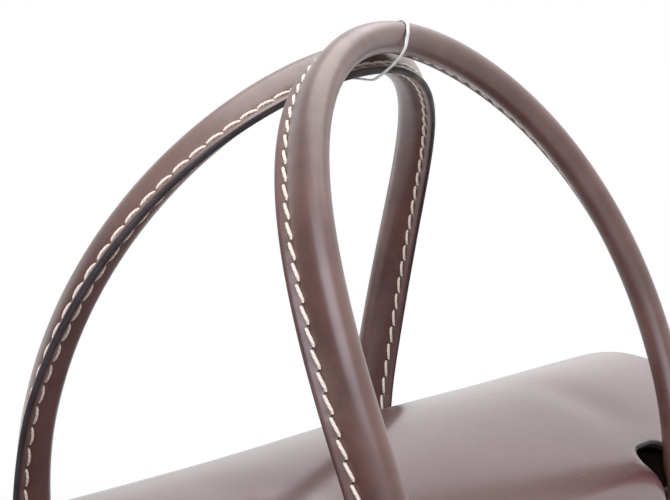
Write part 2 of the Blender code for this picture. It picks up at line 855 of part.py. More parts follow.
def make_tabs():
    """Flat tabs with a round lower end, sewn to the panels below each handle end"""
    top = fold_level - seam_gap
    straight = tab_length - tab_half_width
    rows = [(straight * step / 5, tab_half_width) for step in range(5)]
    for step in range(7):
        angle = pi / 2 * tab_round_share * step / 6
        rows.append((straight + tab_half_width * sin(angle), tab_half_width * cos(angle)))
    for handle, sign in (("front", -1), ("back", 1)):
        for end, side in (("left", -1), ("right", 1)):
            near, far = [], []
            for down, half in rows:
                height = top - down
                depth = face_depth(height) + seam_gap
                xs = (side * leg_offset - half, side * leg_offset + half)
                near.append([(x, sign * (depth + tab_leather), height) for x in xs])
                far.append([(x, sign * depth, height) for x in xs])
            if sign > 0:
                near, far = far, near
            plate(handle + "_" + end + "_tab", far, near, "handle_leather")


# Thread

def hull(points):
    """Convex outline of points in a plane, anticlockwise"""
    points = sorted(set(points))

    def chain(sequence):
        line = []
        for point in sequence:
            while len(line) > 1:
                a, b = line[-2], line[-1]
                if (b[0] - a[0]) * (point[1] - a[1]) - (b[1] - a[1]) * (point[0] - a[0]) > 0:
                    break
                line.pop()
            line.append(point)
        return line[:-1]

    return chain(points) + chain(reversed(points))


def thread_section():
    """Two round strands side by side, as the outline of both, across and out from the loop"""
    points = []
    for strand in (-1, 1):
        for step in range(6):
            angle = pi * (step / 5 - 0.5)
            across = strand * thread_radius * (strand_spread_share + cos(angle))
            points.append((across, thread_radius * sin(angle)))
    return hull(points)


def thread_slants(loop):
    """How far each point of the loop is to the side, as a share of the slant"""
    turns = range(len(loop))
    front_point = min(turns, key=lambda index: loop[index][0])
    lowest = min(turns, key=lambda index: loop[index][1])
    back_point = max(turns, key=lambda index: loop[index][0])
    highest = max(turns, key=lambda index: loop[index][1])
    corners = [(front_point, -1), (lowest, -1), (back_point, 0), (highest, 1)]
    slants = [0.0] * len(loop)
    for (start, low), (end, high) in zip(corners, corners[1:] + corners[:1]):
        steps = (end - start) % len(loop)
        for step in range(steps):
            slants[(start + step) % len(loop)] = mix(low, high, step / steps)
    return slants


def make_thread(front_rings, back_rings):
    """One turn of doubled thread, laid round both crests where they come together"""
    section = []
    reach = thread_radius + thread_gap
    for ring in front_rings + back_rings:
        middle = sum((point.x for point in ring), 0.0) / len(ring)
        if abs(middle - thread_place) < tube_radius * thread_follow_share:
            section += [(point.y, point.z) for point in ring]
    spread = []
    for y, z in section:
        for step in range(12):
            angle = 2 * pi * step / 12
            spread.append((y + reach * cos(angle), z + reach * sin(angle)))
    outline = hull(spread)
    lengths = [0.0]
    for index, point in enumerate(outline):
        after = outline[(index + 1) % len(outline)]
        lengths.append(lengths[-1] + hypot(after[0] - point[0], after[1] - point[1]))
    turns = 40
    loop = []
    for step in range(turns):
        goal = lengths[-1] * step / turns
        index = max(i for i in range(len(outline)) if lengths[i] <= goal)
        share = (goal - lengths[index]) / (lengths[index + 1] - lengths[index])
        a, b = outline[index], outline[(index + 1) % len(outline)]
        loop.append((mix(a[0], b[0], share), mix(a[1], b[1], share)))
    verts, faces = [], []
    strands = thread_section()
    count = len(strands)
    slants = thread_slants(loop)
    for index, (y, z) in enumerate(loop):
        place = thread_place + thread_slant * slants[index]
        before, after = loop[index - 1], loop[(index + 1) % turns]
        way = Vector((after[0] - before[0], after[1] - before[1])).normalized()
        out = Vector((way.y, -way.x))
        for across, lift in strands:
            verts.append((place + across, y + out.x * lift, z + out.y * lift))
        for side in range(count):
            other = (side + 1) % count
            low, high = index * count, ((index + 1) % turns) * count
            faces.append((low + side, low + other, high + other, high + side))
    return finish("handle_thread", verts, faces, "thread", 50)


# Build

for item in list(bpy.data.objects):
    bpy.data.objects.remove(item)

materials = {
    "leather": finish_material("brown glazed leather", (0.080, 0.036, 0.033), 0.30),
    "handle_leather": finish_material("brown handle leather", (0.112, 0.056, 0.052), 0.38),
    "suede": finish_material("brown suede", (0.150, 0.080, 0.065), 0.95),
    "cloth": finish_material("tan lining cloth", (0.330, 0.215, 0.135), 0.90),
    "board": finish_material("grey fibre board", (0.200, 0.190, 0.175), 0.85),
    "cord": finish_material("cotton cord", (0.620, 0.560, 0.450), 0.90),
    "thread": finish_material("clear thread", (0.860, 0.840, 0.790), 0.30),
    "nickel": finish_material("nickel", (0.660, 0.640, 0.610), 0.22, 1.0),
    "magnet": finish_material("magnet steel", (0.350, 0.350, 0.360), 0.35, 1.0),
    "guide": finish_material("guide", (0.500, 0.500, 0.500), 0.50),
}

front_panel = make_front_panel()
make_back_panel()
make_gusset("left_gusset", -1)
make_gusset("right_gusset", 1)
base_panel = make_tray()
base_board = make_board()
make_feet(base_panel, base_board)
flap = make_flap()
flap_lining = make_flap_lining()
flap_magnets = make_magnets(flap, front_panel)
flap_fold = make_axis("flap_fold", Vector((0, hinge_setback, crown_height(hinge_setback))))
hang(flap_fold, [flap, flap_lining] + flap_magnets)
make_lining()
make_pocket()
make_tabs()
front_stations = arch_stations(-1, front_lean, front_bow, front_crest_shift, front_crest_pull,
                               front_crest_twist)
back_stations = arch_stations(1, back_lean, back_bow, back_crest_shift, back_crest_pull, back_crest_twist)
front_turns = (front_turn_leg, front_turn_crest, front_turn_skew, front_turn_power)
back_turns = (back_turn_leg, back_turn_crest, back_turn_skew, back_turn_power)
front_rings, front_fold = make_handle("front", -1, front_stations, front_turns)
back_rings, back_fold = make_handle("back", 1, back_stations, back_turns)
hang(front_fold, [make_thread(front_rings, back_rings)])
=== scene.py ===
from math import atan, cos, hypot, pi, radians, sin, sqrt, tan

import bpy
import numpy as np
from mathutils import Matrix, Vector
from mathutils.geometry import delaunay_2d_cdt


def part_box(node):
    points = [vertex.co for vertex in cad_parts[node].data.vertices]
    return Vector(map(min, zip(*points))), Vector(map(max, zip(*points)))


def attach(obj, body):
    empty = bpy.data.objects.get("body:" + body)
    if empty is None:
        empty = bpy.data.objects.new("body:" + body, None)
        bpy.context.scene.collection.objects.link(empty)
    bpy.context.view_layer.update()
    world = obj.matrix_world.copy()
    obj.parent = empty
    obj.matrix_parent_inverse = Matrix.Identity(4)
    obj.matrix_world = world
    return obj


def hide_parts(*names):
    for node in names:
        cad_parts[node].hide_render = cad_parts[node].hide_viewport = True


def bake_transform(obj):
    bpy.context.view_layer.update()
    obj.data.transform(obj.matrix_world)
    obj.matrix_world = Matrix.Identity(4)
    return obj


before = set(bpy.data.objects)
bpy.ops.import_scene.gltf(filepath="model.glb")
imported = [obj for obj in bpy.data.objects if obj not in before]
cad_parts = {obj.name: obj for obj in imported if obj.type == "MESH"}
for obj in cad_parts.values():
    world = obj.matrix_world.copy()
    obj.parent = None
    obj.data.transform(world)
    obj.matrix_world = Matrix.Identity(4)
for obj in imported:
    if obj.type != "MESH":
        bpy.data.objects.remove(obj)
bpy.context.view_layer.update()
print("frame loaded with", len(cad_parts), "nodes")

# Everything is in metres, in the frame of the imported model.

bodyShape = {
    "panelLength": 2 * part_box("front_panel")[1].x,
    "rimHeight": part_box("front_panel")[1].z,
    "panelFoot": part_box("front_panel")[0].z,
    "groundGap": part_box("base_panel")[0].z,
    "rimDepth": 0.121,         # front face to back face at the rim
    "bellyDepth": 0.158,
    "baseDepth": 0.149,
    "leather": 0.0024,
    "restGap": 0.0003,         # between pieces that lie on each other
    "ridgeLift": 0.0338,       # the crown's ridge above the rim
    "ridgeRoundness": 0.0394,
    "crownSlope": 0.8,
    "shoulderRadius": 0.009,
    "hingeDepth": 0.052,
}
bodyHeight = bodyShape["rimHeight"] - bodyShape["groundGap"]
ridgeHeight = bodyShape["rimHeight"] + bodyShape["ridgeLift"]
rimSlope = (bodyShape["bellyDepth"] - bodyShape["rimDepth"]) / bodyHeight


def mix(a, b, share):
    return a + (b - a) * share


def smooth(share):
    share = np.clip(share, 0.0, 1.0)
    return share * share * (3 - 2 * share)


def faceDepth(height):
    # outer face of the front and back panels, from the middle
    share = (height - bodyShape["groundGap"]) / bodyHeight
    ends = (1 - share) ** 2 * bodyShape["baseDepth"] + share ** 2 * bodyShape["rimDepth"]
    return (ends + 2 * share * (1 - share) * bodyShape["bellyDepth"]) / 2


def crownHeight(depth):
    roundness = bodyShape["ridgeRoundness"]
    return ridgeHeight - bodyShape["crownSlope"] * (hypot(depth, roundness) - roundness)


def crownFall(depth):
    return atan(bodyShape["crownSlope"] * depth / hypot(depth, bodyShape["ridgeRoundness"]))


def shoulderLine(face, radius, lineTo, crownSteps, arcSteps):
    # ridge, turn and face as one line of (depth, height), from the ridge outwards
    lean = atan(rimSlope)
    low, high = 0.0, face
    halvings = 60
    for step in range(halvings):
        turnAt = (low + high) / 2
        fall = crownFall(turnAt)
        centre = (turnAt - radius * sin(fall), crownHeight(turnAt) - radius * cos(fall))
        room = (face - rimSlope * (centre[1] - bodyShape["rimHeight"]) - centre[0]) * cos(lean)
        low, high = (turnAt, high) if room > radius else (low, turnAt)
    line = []
    for step in range(crownSteps):
        depth = turnAt * step / crownSteps
        line.append((depth, crownHeight(depth)))
    for step in range(arcSteps + 1):
        angle = mix(pi / 2 - fall, lean, step / arcSteps)
        line.append((centre[0] + radius * cos(angle), centre[1] + radius * sin(angle)))
    line.append((face + rimSlope * (bodyShape["rimHeight"] - lineTo), lineTo))
    return line


waviness = {"upShare": 1.3, "slantHeight": 0.5, "slantShare": 2.1, "slantShift": 2.3}


def unevenness(u, v, wave, height, shift):
    # the slow waviness of leather that has been handled: straight waves and lower slanting ones
    waves = np.sin(u / wave + shift) * np.cos(waviness["upShare"] * v / wave - shift)
    slanting = np.sin(waviness["slantShare"] * (u + v) / wave + waviness["slantShift"] * shift)
    both = waves + waviness["slantHeight"] * slanting
    return height * both / (1 + waviness["slantHeight"])


# Shader groups, each built once and placed in the materials with its own values

def newGroup(name, inputs, outputs):
    group = bpy.data.node_groups.new(name, "ShaderNodeTree")
    for socketName, kind, value in inputs:
        socket = group.interface.new_socket(socketName, in_out="INPUT",
                                            socket_type="NodeSocket" + kind)
        if value is not None:
            socket.default_value = value
    for socketName, kind in outputs:
        group.interface.new_socket(socketName, in_out="OUTPUT", socket_type="NodeSocket" + kind)
    return group, group.nodes.new("NodeGroupInput"), group.nodes.new("NodeGroupOutput")


def addNode(tree, kind, settings=None, **sockets):
    node = tree.nodes.new("ShaderNode" + kind)
    for name, value in (settings or {}).items():
        setattr(node, name, value)
    for name, value in sockets.items():
        connect(tree, value, node.inputs[int(name[1:])])
    return node


def connect(tree, value, socket):
    if isinstance(value, bpy.types.NodeSocket):
        tree.links.new(value, socket)
    else:
        socket.default_value = value


def calculate(tree, operation, a, b=0.0, c=0.0):
    return addNode(tree, "Math", {"operation": operation}, i0=a, i1=b, i2=c).outputs[0]


def mixColours(tree, share, a, b, blend="MIX"):
    node = addNode(tree, "Mix", {"data_type": "RGBA", "blend_type": blend}, i0=share, i6=a, i7=b)
    return node.outputs[2]


def remap(tree, value, low, high):
    # 0 at low, 1 at high and a soft change between
    node = addNode(tree, "MapRange", {"interpolation_type": "SMOOTHSTEP"},
                   i0=value, i1=low, i2=high)
    return node.outputs[0]


def noiseNode(tree, place, scale, detail, roughness=0.55):
    return addNode(tree, "TexNoise", None, i0=place, i2=scale, i3=detail, i4=roughness).outputs[0]


grainPattern = {
    "patchDetail": 4.0, "patchRange": (0.32, 0.68), "patchShare": 0.75,
    # these two scales are shares of the pores' scale
    "mottleScale": 0.16, "mottleDetail": 1.5, "mottleRoughness": 0.5, "mottleRange": (0.2, 0.8),
    "fineScale": 0.7, "fineDetail": 2.0, "fineHeight": 0.4,
    # poreShade: painted shade in the pores, which the height sinks
    "poreRange": (0.05, 0.42), "poreShade": 0.05, "poreHeight": 0.6,
}


def makeGrainGroup():
    group, given, result = newGroup("LeatherGrain", [
        ("Coordinates", "Vector", None), ("Deep", "Color", (0.1, 0.05, 0.04, 1)),
        ("Light", "Color", (0.2, 0.1, 0.08, 1)), ("Patch Scale", "Float", 40.0),
        ("Pore Scale", "Float", 1500.0), ("Roughness", "Float", 0.4),
        ("Roughness Spread", "Float", 0.1),
    ], [("Color", "Color"), ("Roughness", "Float"), ("Height", "Float")])
    place, deep, light, patchScale, poreScale, roughness, spread = given.outputs[:7]
    pattern = grainPattern
    patches = noiseNode(group, place, patchScale, pattern["patchDetail"])
    patches = remap(group, patches, *pattern["patchRange"])
    mottleScale = calculate(group, "MULTIPLY", poreScale, pattern["mottleScale"])
    mottle = noiseNode(group, place, mottleScale, pattern["mottleDetail"],
                       pattern["mottleRoughness"])
    mottle = remap(group, mottle, *pattern["mottleRange"])
    fineScale = calculate(group, "MULTIPLY", poreScale, pattern["fineScale"])
    fine = noiseNode(group, place, fineScale, pattern["fineDetail"])
    blend = calculate(group, "ADD", calculate(group, "MULTIPLY", patches, pattern["patchShare"]),
                      calculate(group, "MULTIPLY", mottle, 1 - pattern["patchShare"]))
    pores = addNode(group, "TexVoronoi", None, i0=place, i2=poreScale).outputs[0]
    pores = remap(group, pores, *pattern["poreRange"])
    # the pores, sunk by the height below, are darkened a little: painted shade in them
    shade = calculate(group, "ADD", 1 - pattern["poreShade"],
                      calculate(group, "MULTIPLY", pores, pattern["poreShade"]))
    colour = mixColours(group, 1.0, mixColours(group, blend, deep, light), shade, "MULTIPLY")
    group.links.new(colour, result.inputs[0])
    drift = calculate(group, "MULTIPLY", calculate(group, "SUBTRACT", blend, 0.5), spread)
    group.links.new(calculate(group, "SUBTRACT", roughness, drift), result.inputs[1])
    height = calculate(group, "ADD", calculate(group, "MULTIPLY", pores, pattern["poreHeight"]),
                       calculate(group, "MULTIPLY", fine, pattern["fineHeight"]))
    group.links.new(height, result.inputs[2])
    return group


scuffPattern = {
    "scale": 70.0, "clusterDetail": 2.0, "clusterRange": (0.58, 0.72),
    "speckScale": 14.0, "speckDetail": 3.0, "speckRoughness": 0.7, "speckRange": (0.62, 0.72),
    "colour": (0.42, 0.34, 0.31, 1), "dulling": 0.4,
}


def makeScuffGroup():
    group, given, result = newGroup("Scuffs", [
        ("Coordinates", "Vector", None), ("Scale", "Float", 60.0), ("Amount", "Float", 0.1),
    ], [("Mask", "Float")])
    place, scale, amount = given.outputs[:3]
    pattern = scuffPattern
    clusters = noiseNode(group, place, scale, pattern["clusterDetail"])
    clusters = remap(group, clusters, *pattern["clusterRange"])
    speckScale = calculate(group, "MULTIPLY", scale, pattern["speckScale"])
    specks = noiseNode(group, place, speckScale, pattern["speckDetail"], pattern["speckRoughness"])
    specks = remap(group, specks, *pattern["speckRange"])
    mask = calculate(group, "MULTIPLY", calculate(group, "MULTIPLY", clusters, specks), amount)
    group.links.new(mask, result.inputs[0])
    return group


# shade: how much darker the grooves between the plies are painted, as painted shade
twistPattern = {"shade": 0.28, "fuzzScale": 3000.0, "fuzzDetail": 2.0, "fuzzHeight": 0.15}


def makeTwistGroup():
    group, given, result = newGroup("ThreadTwist", [
        ("Coordinates", "Vector", None), ("Turns Per Metre", "Float", 800.0),
        ("Plies", "Float", 2.0),
    ], [("Shade", "Float"), ("Height", "Float")])
    place, turns, plies = given.outputs[:3]
    pattern = twistPattern
    along, around, _ = addNode(group, "SeparateXYZ", None, i0=place).outputs
    phase = calculate(group, "ADD", calculate(group, "MULTIPLY", along, turns),
                      calculate(group, "MULTIPLY", around, plies))
    wave = calculate(group, "SINE", calculate(group, "MULTIPLY", phase, pi))
    wave = calculate(group, "ABSOLUTE", wave)
    fuzz = noiseNode(group, place, pattern["fuzzScale"], pattern["fuzzDetail"])
    # the grooves between the plies, low in the height, get darker: painted shade
    shade = calculate(group, "MULTIPLY_ADD", wave, pattern["shade"], 1 - pattern["shade"])
    group.links.new(shade, result.inputs[0])
    height = calculate(group, "MULTIPLY_ADD", fuzz, pattern["fuzzHeight"], wave)
    group.links.new(height, result.inputs[1])
    return group


weavePattern = {"crossing": 0.15, "stainScale": 220.0, "stainDetail": 3.0, "stainShare": 0.35,
                "stain": (0.2, 0.14, 0.09, 1)}


def makeWeaveGroup():
    group, given, result = newGroup("WovenCloth", [
        ("Coordinates", "Vector", None), ("Threads Per Metre", "Float", 1400.0),
        ("Warp", "Color", (0.4, 0.3, 0.2, 1)), ("Weft", "Color", (0.3, 0.2, 0.1, 1)),
    ], [("Color", "Color"), ("Height", "Float")])
    place, threads, warp, weft = given.outputs[:4]
    pattern = weavePattern
    scaled = addNode(group, "VectorMath", {"operation": "SCALE"}, i0=place)
    connect(group, threads, scaled.inputs[3])
    across, along, up = addNode(group, "SeparateXYZ", None, i0=scaled.outputs[0]).outputs
    side = calculate(group, "ADD", across, along)
    lines = calculate(group, "SINE", calculate(group, "MULTIPLY", side, pi))
    rows = calculate(group, "SINE", calculate(group, "MULTIPLY", up, pi))
    over = calculate(group, "MULTIPLY", lines, rows)
    over = remap(group, over, -pattern["crossing"], pattern["crossing"])
    stains = noiseNode(group, place, pattern["stainScale"], pattern["stainDetail"])
    stains = calculate(group, "MULTIPLY", stains, pattern["stainShare"])
    colour = mixColours(group, stains, mixColours(group, over, warp, weft), pattern["stain"])
    bumps = calculate(group, "MAXIMUM", calculate(group, "ABSOLUTE", lines),
                      calculate(group, "ABSOLUTE", rows))
    group.links.new(colour, result.inputs[0])
    group.links.new(bumps, result.inputs[1])
    return group


groups = {"grain": makeGrainGroup(), "scuffs": makeScuffGroup(), "twist": makeTwistGroup(),
          "weave": makeWeaveGroup()}


# Materials; each bump is a strength and a depth in metres

def newMaterial(name, values):
    material = bpy.data.materials.new(name)
    material.use_nodes = True
    tree = material.node_tree
    shader = tree.nodes["Principled BSDF"]
    for socketName, value in values.items():
        shader.inputs[socketName].default_value = value
    place = tree.nodes.new("ShaderNodeTexCoord")
    return material, tree, shader, place


def placeGroup(tree, group, place, values):
    node = tree.nodes.new("ShaderNodeGroup")
    node.node_tree = groups[group]
    tree.links.new(place, node.inputs["Coordinates"])
    for name, value in values.items():
        node.inputs[name].default_value = value
    return node


def placeGrain(tree, place, look):
    return placeGroup(tree, "grain", place, {
        "Deep": (*look["deep"], 1), "Light": (*look["light"], 1), "Patch Scale": look["patchScale"],
        "Pore Scale": look["poreScale"], "Roughness": look["roughness"],
        "Roughness Spread": look["spread"]})


def addBump(tree, shader, height, strength, depth):
    bump = tree.nodes.new("ShaderNodeBump")
    bump.inputs["Strength"].default_value = strength
    bump.inputs["Distance"].default_value = depth
    tree.links.new(height, bump.inputs["Height"])
    tree.links.new(bump.outputs[0], shader.inputs["Normal"])


leatherLooks = {
    "crownLeather": {
        "shader": {"Coat Weight": 0.65, "Coat Roughness": 0.16, "Specular IOR Level": 0.5},
        "deep": (0.074, 0.023, 0.024), "light": (0.104, 0.038, 0.039),
        "patchScale": 14.0, "poreScale": 1500.0, "roughness": 0.28, "spread": 0.03,
        "scuffs": 0.0, "bump": (0.006, 0.0003),
    },
    "handleLeather": {
        "shader": {"Coat Weight": 0.72, "Coat Roughness": 0.32, "Specular IOR Level": 0.5},
        "deep": (0.071, 0.026, 0.022), "light": (0.125, 0.057, 0.048),
        "patchScale": 46.0, "poreScale": 1700.0, "roughness": 0.40, "spread": 0.12,
        "scuffs": 0.55, "bump": (0.16, 0.0003),
    },
    "gussetLeather": {
        "shader": {"Coat Weight": 0.25, "Coat Roughness": 0.25, "Specular IOR Level": 0.5},
        "deep": (0.070, 0.024, 0.024), "light": (0.098, 0.037, 0.037),
        "patchScale": 11.0, "poreScale": 1300.0, "roughness": 0.34, "spread": 0.05,
        "scuffs": 0.0, "bump": (0.08, 0.0003),
    },
}


def makeLeather(name, look):
    material, tree, shader, place = newMaterial(name, look["shader"])
    grain = placeGrain(tree, place.outputs["UV"], look)
    scuffs = placeGroup(tree, "scuffs", place.outputs["UV"],
                        {"Scale": scuffPattern["scale"], "Amount": look["scuffs"]})
    colour = mixColours(tree, scuffs.outputs[0], grain.outputs["Color"], scuffPattern["colour"])
    tree.links.new(colour, shader.inputs["Base Color"])
    dulling = calculate(tree, "MULTIPLY", scuffs.outputs[0], scuffPattern["dulling"])
    roughness = calculate(tree, "ADD", grain.outputs["Roughness"], dulling)
    tree.links.new(roughness, shader.inputs["Roughness"])
    addBump(tree, shader, grain.outputs["Height"], *look["bump"])
    return material


plainLooks = {
    # dark edge paint on the cut edges; the stitches' awl holes also wear it, as painted shade
    "edgePaint": {
        "shader": {"Specular IOR Level": 0.25},
        "deep": (0.016, 0.012, 0.013), "light": (0.040, 0.031, 0.033),
        "patchScale": 120.0, "poreScale": 900.0, "roughness": 0.46, "spread": 0.15,
        "bump": (0.25, 0.0003),
    },
    "suede": {
        "shader": {"Sheen Weight": 0.35, "Sheen Roughness": 0.5, "Specular IOR Level": 0.2},
        "deep": (0.098, 0.050, 0.040), "light": (0.190, 0.105, 0.082),
        "patchScale": 55.0, "poreScale": 2600.0, "roughness": 0.95, "spread": 0.05,
        "bump": (0.5, 0.0004),
    },
    "fibreBoard": {
        "shader": {"Specular IOR Level": 0.3},
        "deep": (0.15, 0.14, 0.125), "light": (0.26, 0.245, 0.22),
        "patchScale": 90.0, "poreScale": 800.0, "roughness": 0.85, "spread": 0.1,
        "bump": (0.4, 0.0004),
    },
    "nickel": {
        "shader": {"Metallic": 1.0},
        "deep": (0.602, 0.5848, 0.5504), "light": (0.70, 0.68, 0.64),
        "patchScale": 300.0, "poreScale": 2500.0, "roughness": 0.20, "spread": 0.08,
        "bump": (0.05, 0.0001),
    },
    "magnetSteel": {
        "shader": {"Metallic": 1.0},
        "deep": (0.3096, 0.3096, 0.3182), "light": (0.36, 0.36, 0.37),
        "patchScale": 500.0, "poreScale": 2500.0, "roughness": 0.36, "spread": 0.08,
        "bump": (0.05, 0.0001),
    },
}


def makePlain(name, look):
    material, tree, shader, place = newMaterial(name, look["shader"])
    grain = placeGrain(tree, place.outputs["Object"], look)
    tree.links.new(grain.outputs["Color"], shader.inputs["Base Color"])
    tree.links.new(grain.outputs["Roughness"], shader.inputs["Roughness"])
    addBump(tree, shader, grain.outputs["Height"], *look["bump"])
    return material


clothLook = {
    "shader": {"Roughness": 0.88, "Sheen Weight": 0.15, "Specular IOR Level": 0.25},
    "threads": 1500.0, "warp": (0.40, 0.27, 0.17, 1), "weft": (0.30, 0.19, 0.115, 1),
    "bump": (0.5, 0.0002),
}


def makeLiningCloth():
    material, tree, shader, place = newMaterial("liningCloth", clothLook["shader"])
    weave = placeGroup(tree, "weave", place.outputs["Object"], {
        "Threads Per Metre": clothLook["threads"], "Warp": clothLook["warp"],
        "Weft": clothLook["weft"]})
    tree.links.new(weave.outputs["Color"], shader.inputs["Base Color"])
    addBump(tree, shader, weave.outputs["Height"], *clothLook["bump"])
    return material


threadLooks = {
    "saddleThread": {"shader": {"Roughness": 0.6, "Sheen Weight": 0.2},
                     "colour": (0.88, 0.75, 0.63, 1), "turns": 620.0, "bump": (0.6, 0.0002)},
    "coreCord": {"shader": {"Roughness": 0.9},
                 "colour": (0.62, 0.56, 0.45, 1), "turns": 90.0, "bump": (0.6, 0.0002)},
    "tieThread": {"shader": {"Roughness": 0.22, "Transmission Weight": 0.15, "Coat Weight": 0.5},
                  "colour": (0.93, 0.90, 0.86, 1), "turns": 300.0, "bump": (0.6, 0.0002)},
}


def makeThread(name, look):
    material, tree, shader, place = newMaterial(name, look["shader"])
    twist = placeGroup(tree, "twist", place.outputs["UV"], {"Turns Per Metre": look["turns"]})
    # the twist's Shade darkens the grooves between the plies: painted shade
    colour = mixColours(tree, 1.0, look["colour"], twist.outputs["Shade"], "MULTIPLY")
    tree.links.new(colour, shader.inputs["Base Color"])
    addBump(tree, shader, twist.outputs["Height"], *look["bump"])
    return material


finishes = {"liningCloth": makeLiningCloth()}
makers = ((makeLeather, leatherLooks), (makePlain, plainLooks), (makeThread, threadLooks))
for make, looks in makers:
    for finishName, look in looks.items():
        finishes[finishName] = make(finishName, look)
print("materials made:", len(finishes))


# Meshes

sheetMesh = {
    "edgeSteps": 6,            # round a cut edge, from face to face
    "cornerSteps": 6,          # round a rectangle's corner
    "clearShare": 0.55,        # of the edge's spacing; nearer grid points are left out
    "probe": 0.0002,           # how far apart a surface's slope is taken
    "sameSpot": 1e-9,
}


def newPiece(name, verts, faces, materialNames, faceMaterials=None, coordinates=None):
    mesh = bpy.data.meshes.new(name)
    faces = [list(map(int, face)) for face in faces]
    mesh.from_pydata(np.asarray(verts, float).tolist(), [], faces)
    for materialName in materialNames:
        mesh.materials.append(finishes[materialName])
    if faceMaterials is not None:
        mesh.polygons.foreach_set("material_index", np.asarray(faceMaterials, np.int32))
    if coordinates is not None:
        corners = np.zeros(len(mesh.loops), np.int32)
        mesh.loops.foreach_get("vertex_index", corners)
        layer = mesh.uv_layers.new(name="Leather")
        layer.uv.foreach_set("vector", np.asarray(coordinates, np.float32)[corners].ravel())
    mesh.shade_smooth()
    mesh.update()
    piece = bpy.data.objects.new(name, mesh)
    bpy.context.scene.collection.objects.link(piece)
    return piece


def liftedPoints(surface, u, v, lift, facing):
    # points at a distance off a surface, along its normal
    probe = sheetMesh["probe"]
    u, v = np.asarray(u, float), np.asarray(v, float)
    alongU = surface(u + probe, v) - surface(u - probe, v)
    alongV = surface(u, v + probe) - surface(u, v - probe)
    normal = np.cross(alongU, alongV) * facing
    normal /= np.linalg.norm(normal, axis=1)[:, None]
    return surface(u, v) + normal * np.broadcast_to(lift, u.shape)[:, None]


def insideOutline(points, outline):
    inside = np.zeros(len(points), bool)
    x, y = points[:, 0], points[:, 1]
    for (x0, y0), (x1, y1) in zip(outline, np.roll(outline, -1, axis=0)):
        if y0 != y1:
            crosses = (y0 > y) != (y1 > y)
            inside ^= crosses & (x < (x1 - x0) * (y - y0) / (y1 - y0) + x0)
    return inside


def cutSheet(name, outline, gridU, gridV, thickness, surface, facing, materialNames, sink=0.0):
    # a sheet cut to an outline, with half round edges; outline(inset) always has as many points
    half, edgeSteps = thickness / 2, sheetMesh["edgeSteps"]
    edge = np.array(outline(half))
    count = len(edge)
    grid = np.array([(u, v) for u in gridU for v in gridV])
    grid = grid[insideOutline(grid, edge)]
    nearest = np.array([np.min(np.hypot(edge[:, 0] - u, edge[:, 1] - v)) for u, v in grid])
    spacing = np.median(np.hypot(*(edge - np.roll(edge, 1, axis=0)).T))
    grid = grid[nearest > sheetMesh["clearShare"] * spacing]
    flat = [Vector(point) for point in np.vstack([edge, grid])]
    sides = [(index, (index + 1) % count) for index in range(count)]
    found = delaunay_2d_cdt(flat, sides, [], 0, sheetMesh["sameSpot"])
    places = np.array([tuple(point) for point in found[0]])
    triangles = np.array(found[2])
    middles = places[triangles].mean(axis=1)
    triangles = triangles[insideOutline(middles, edge)]
    came = {first: index for index, sources in enumerate(found[3]) for first in sources}
    edgeIndex = [came[index] for index in range(count)]
    total = len(places)
    verts = [liftedPoints(surface, places[:, 0], places[:, 1], -sink, facing),
             liftedPoints(surface, places[:, 0], places[:, 1], -sink - thickness, facing)]
    marks = [places, places]
    rings = [edgeIndex]
    for step in range(1, edgeSteps):
        angle = pi / 2 - pi * step / edgeSteps
        ring = np.array(outline(half * (1 - cos(angle))))
        drop = half * (sin(angle) - 1) - sink
        verts.append(liftedPoints(surface, ring[:, 0], ring[:, 1], drop, facing))
        marks.append(ring)
        start = 2 * total + (step - 1) * count
        rings.append(list(range(start, start + count)))
    rings.append([index + total for index in edgeIndex])
    a, b, c = places[triangles[0]]
    turn = 1 if (b - a)[0] * (c - a)[1] - (b - a)[1] * (c - a)[0] > 0 else -1
    if turn * facing < 0:
        triangles = triangles[:, ::-1]
    faces = [tuple(face) for face in triangles] + [tuple(face[::-1] + total) for face in triangles]
    kinds = [0] * len(triangles) + [1] * len(triangles)
    after = np.roll(edge, -1, axis=0)
    signedArea = np.sum(edge[:, 0] * after[:, 1] - after[:, 0] * edge[:, 1])
    for upper, lower in zip(rings, rings[1:]):
        for index in range(count):
            after = (index + 1) % count
            face = (upper[index], lower[index], lower[after], upper[after])
            faces.append(face if signedArea * facing > 0 else face[::-1])
            kinds.append(2)
    return newPiece(name, np.vstack(verts), faces, materialNames, kinds, np.vstack(marks))


def tubeMesh(rings):
    # rings of equally many points, joined and closed at both ends; returns verts and faces
    rings = np.asarray(rings)
    levels, count = rings.shape[:2]
    faces = []
    for level in range(levels - 1):
        for index in range(count):
            after = (index + 1) % count
            low = level * count
            faces.append((low + index, low + after, low + count + after, low + count + index))
    faces.append(tuple(reversed(range(count))))
    faces.append(tuple(range((levels - 1) * count, levels * count)))
    return rings.reshape(-1, 3), faces


# Saddle stitches: short bent lengths of thread between slanted awl holes

stitchLook = {
    "pitch": 0.0065, "gap": 0.0002, "threadRadius": 0.00054,
    "slant": 0.00052, "sweep": 0.15,           # off the seam's line, and how bent
    "rise": 0.00042, "sinkAtEnds": 0.00040, "bluntness": 0.5,
    "endShare": 0.7, "heightShare": 0.9,       # of the thread's radius
    "rings": 11, "sides": 8,
    "holeLength": 0.0019, "holeWidth": 0.00055, "holeSides": 8, "holeAcross": 0.8, "holeAlong": 0.6,
    "holeRim": -0.00004, "holeTop": 0.00012, "holeFloor": -0.0003,
}
seamProbe = {"steps": 400, "lift": 0.001}


def resample(points, count):
    # evenly spaced along the first two or three columns; later columns come along
    points = np.asarray(points, float)
    run = runAlong(points[:, :3])
    goals = np.linspace(0.0, run[-1], count)
    columns = [np.interp(goals, run, column) for column in points.T]
    return np.stack(columns, axis=1)


def runAlong(points):
    # each point's distance from the first one, along the line
    return np.concatenate([[0.0], np.cumsum(np.linalg.norm(np.diff(points, axis=0), axis=1))])


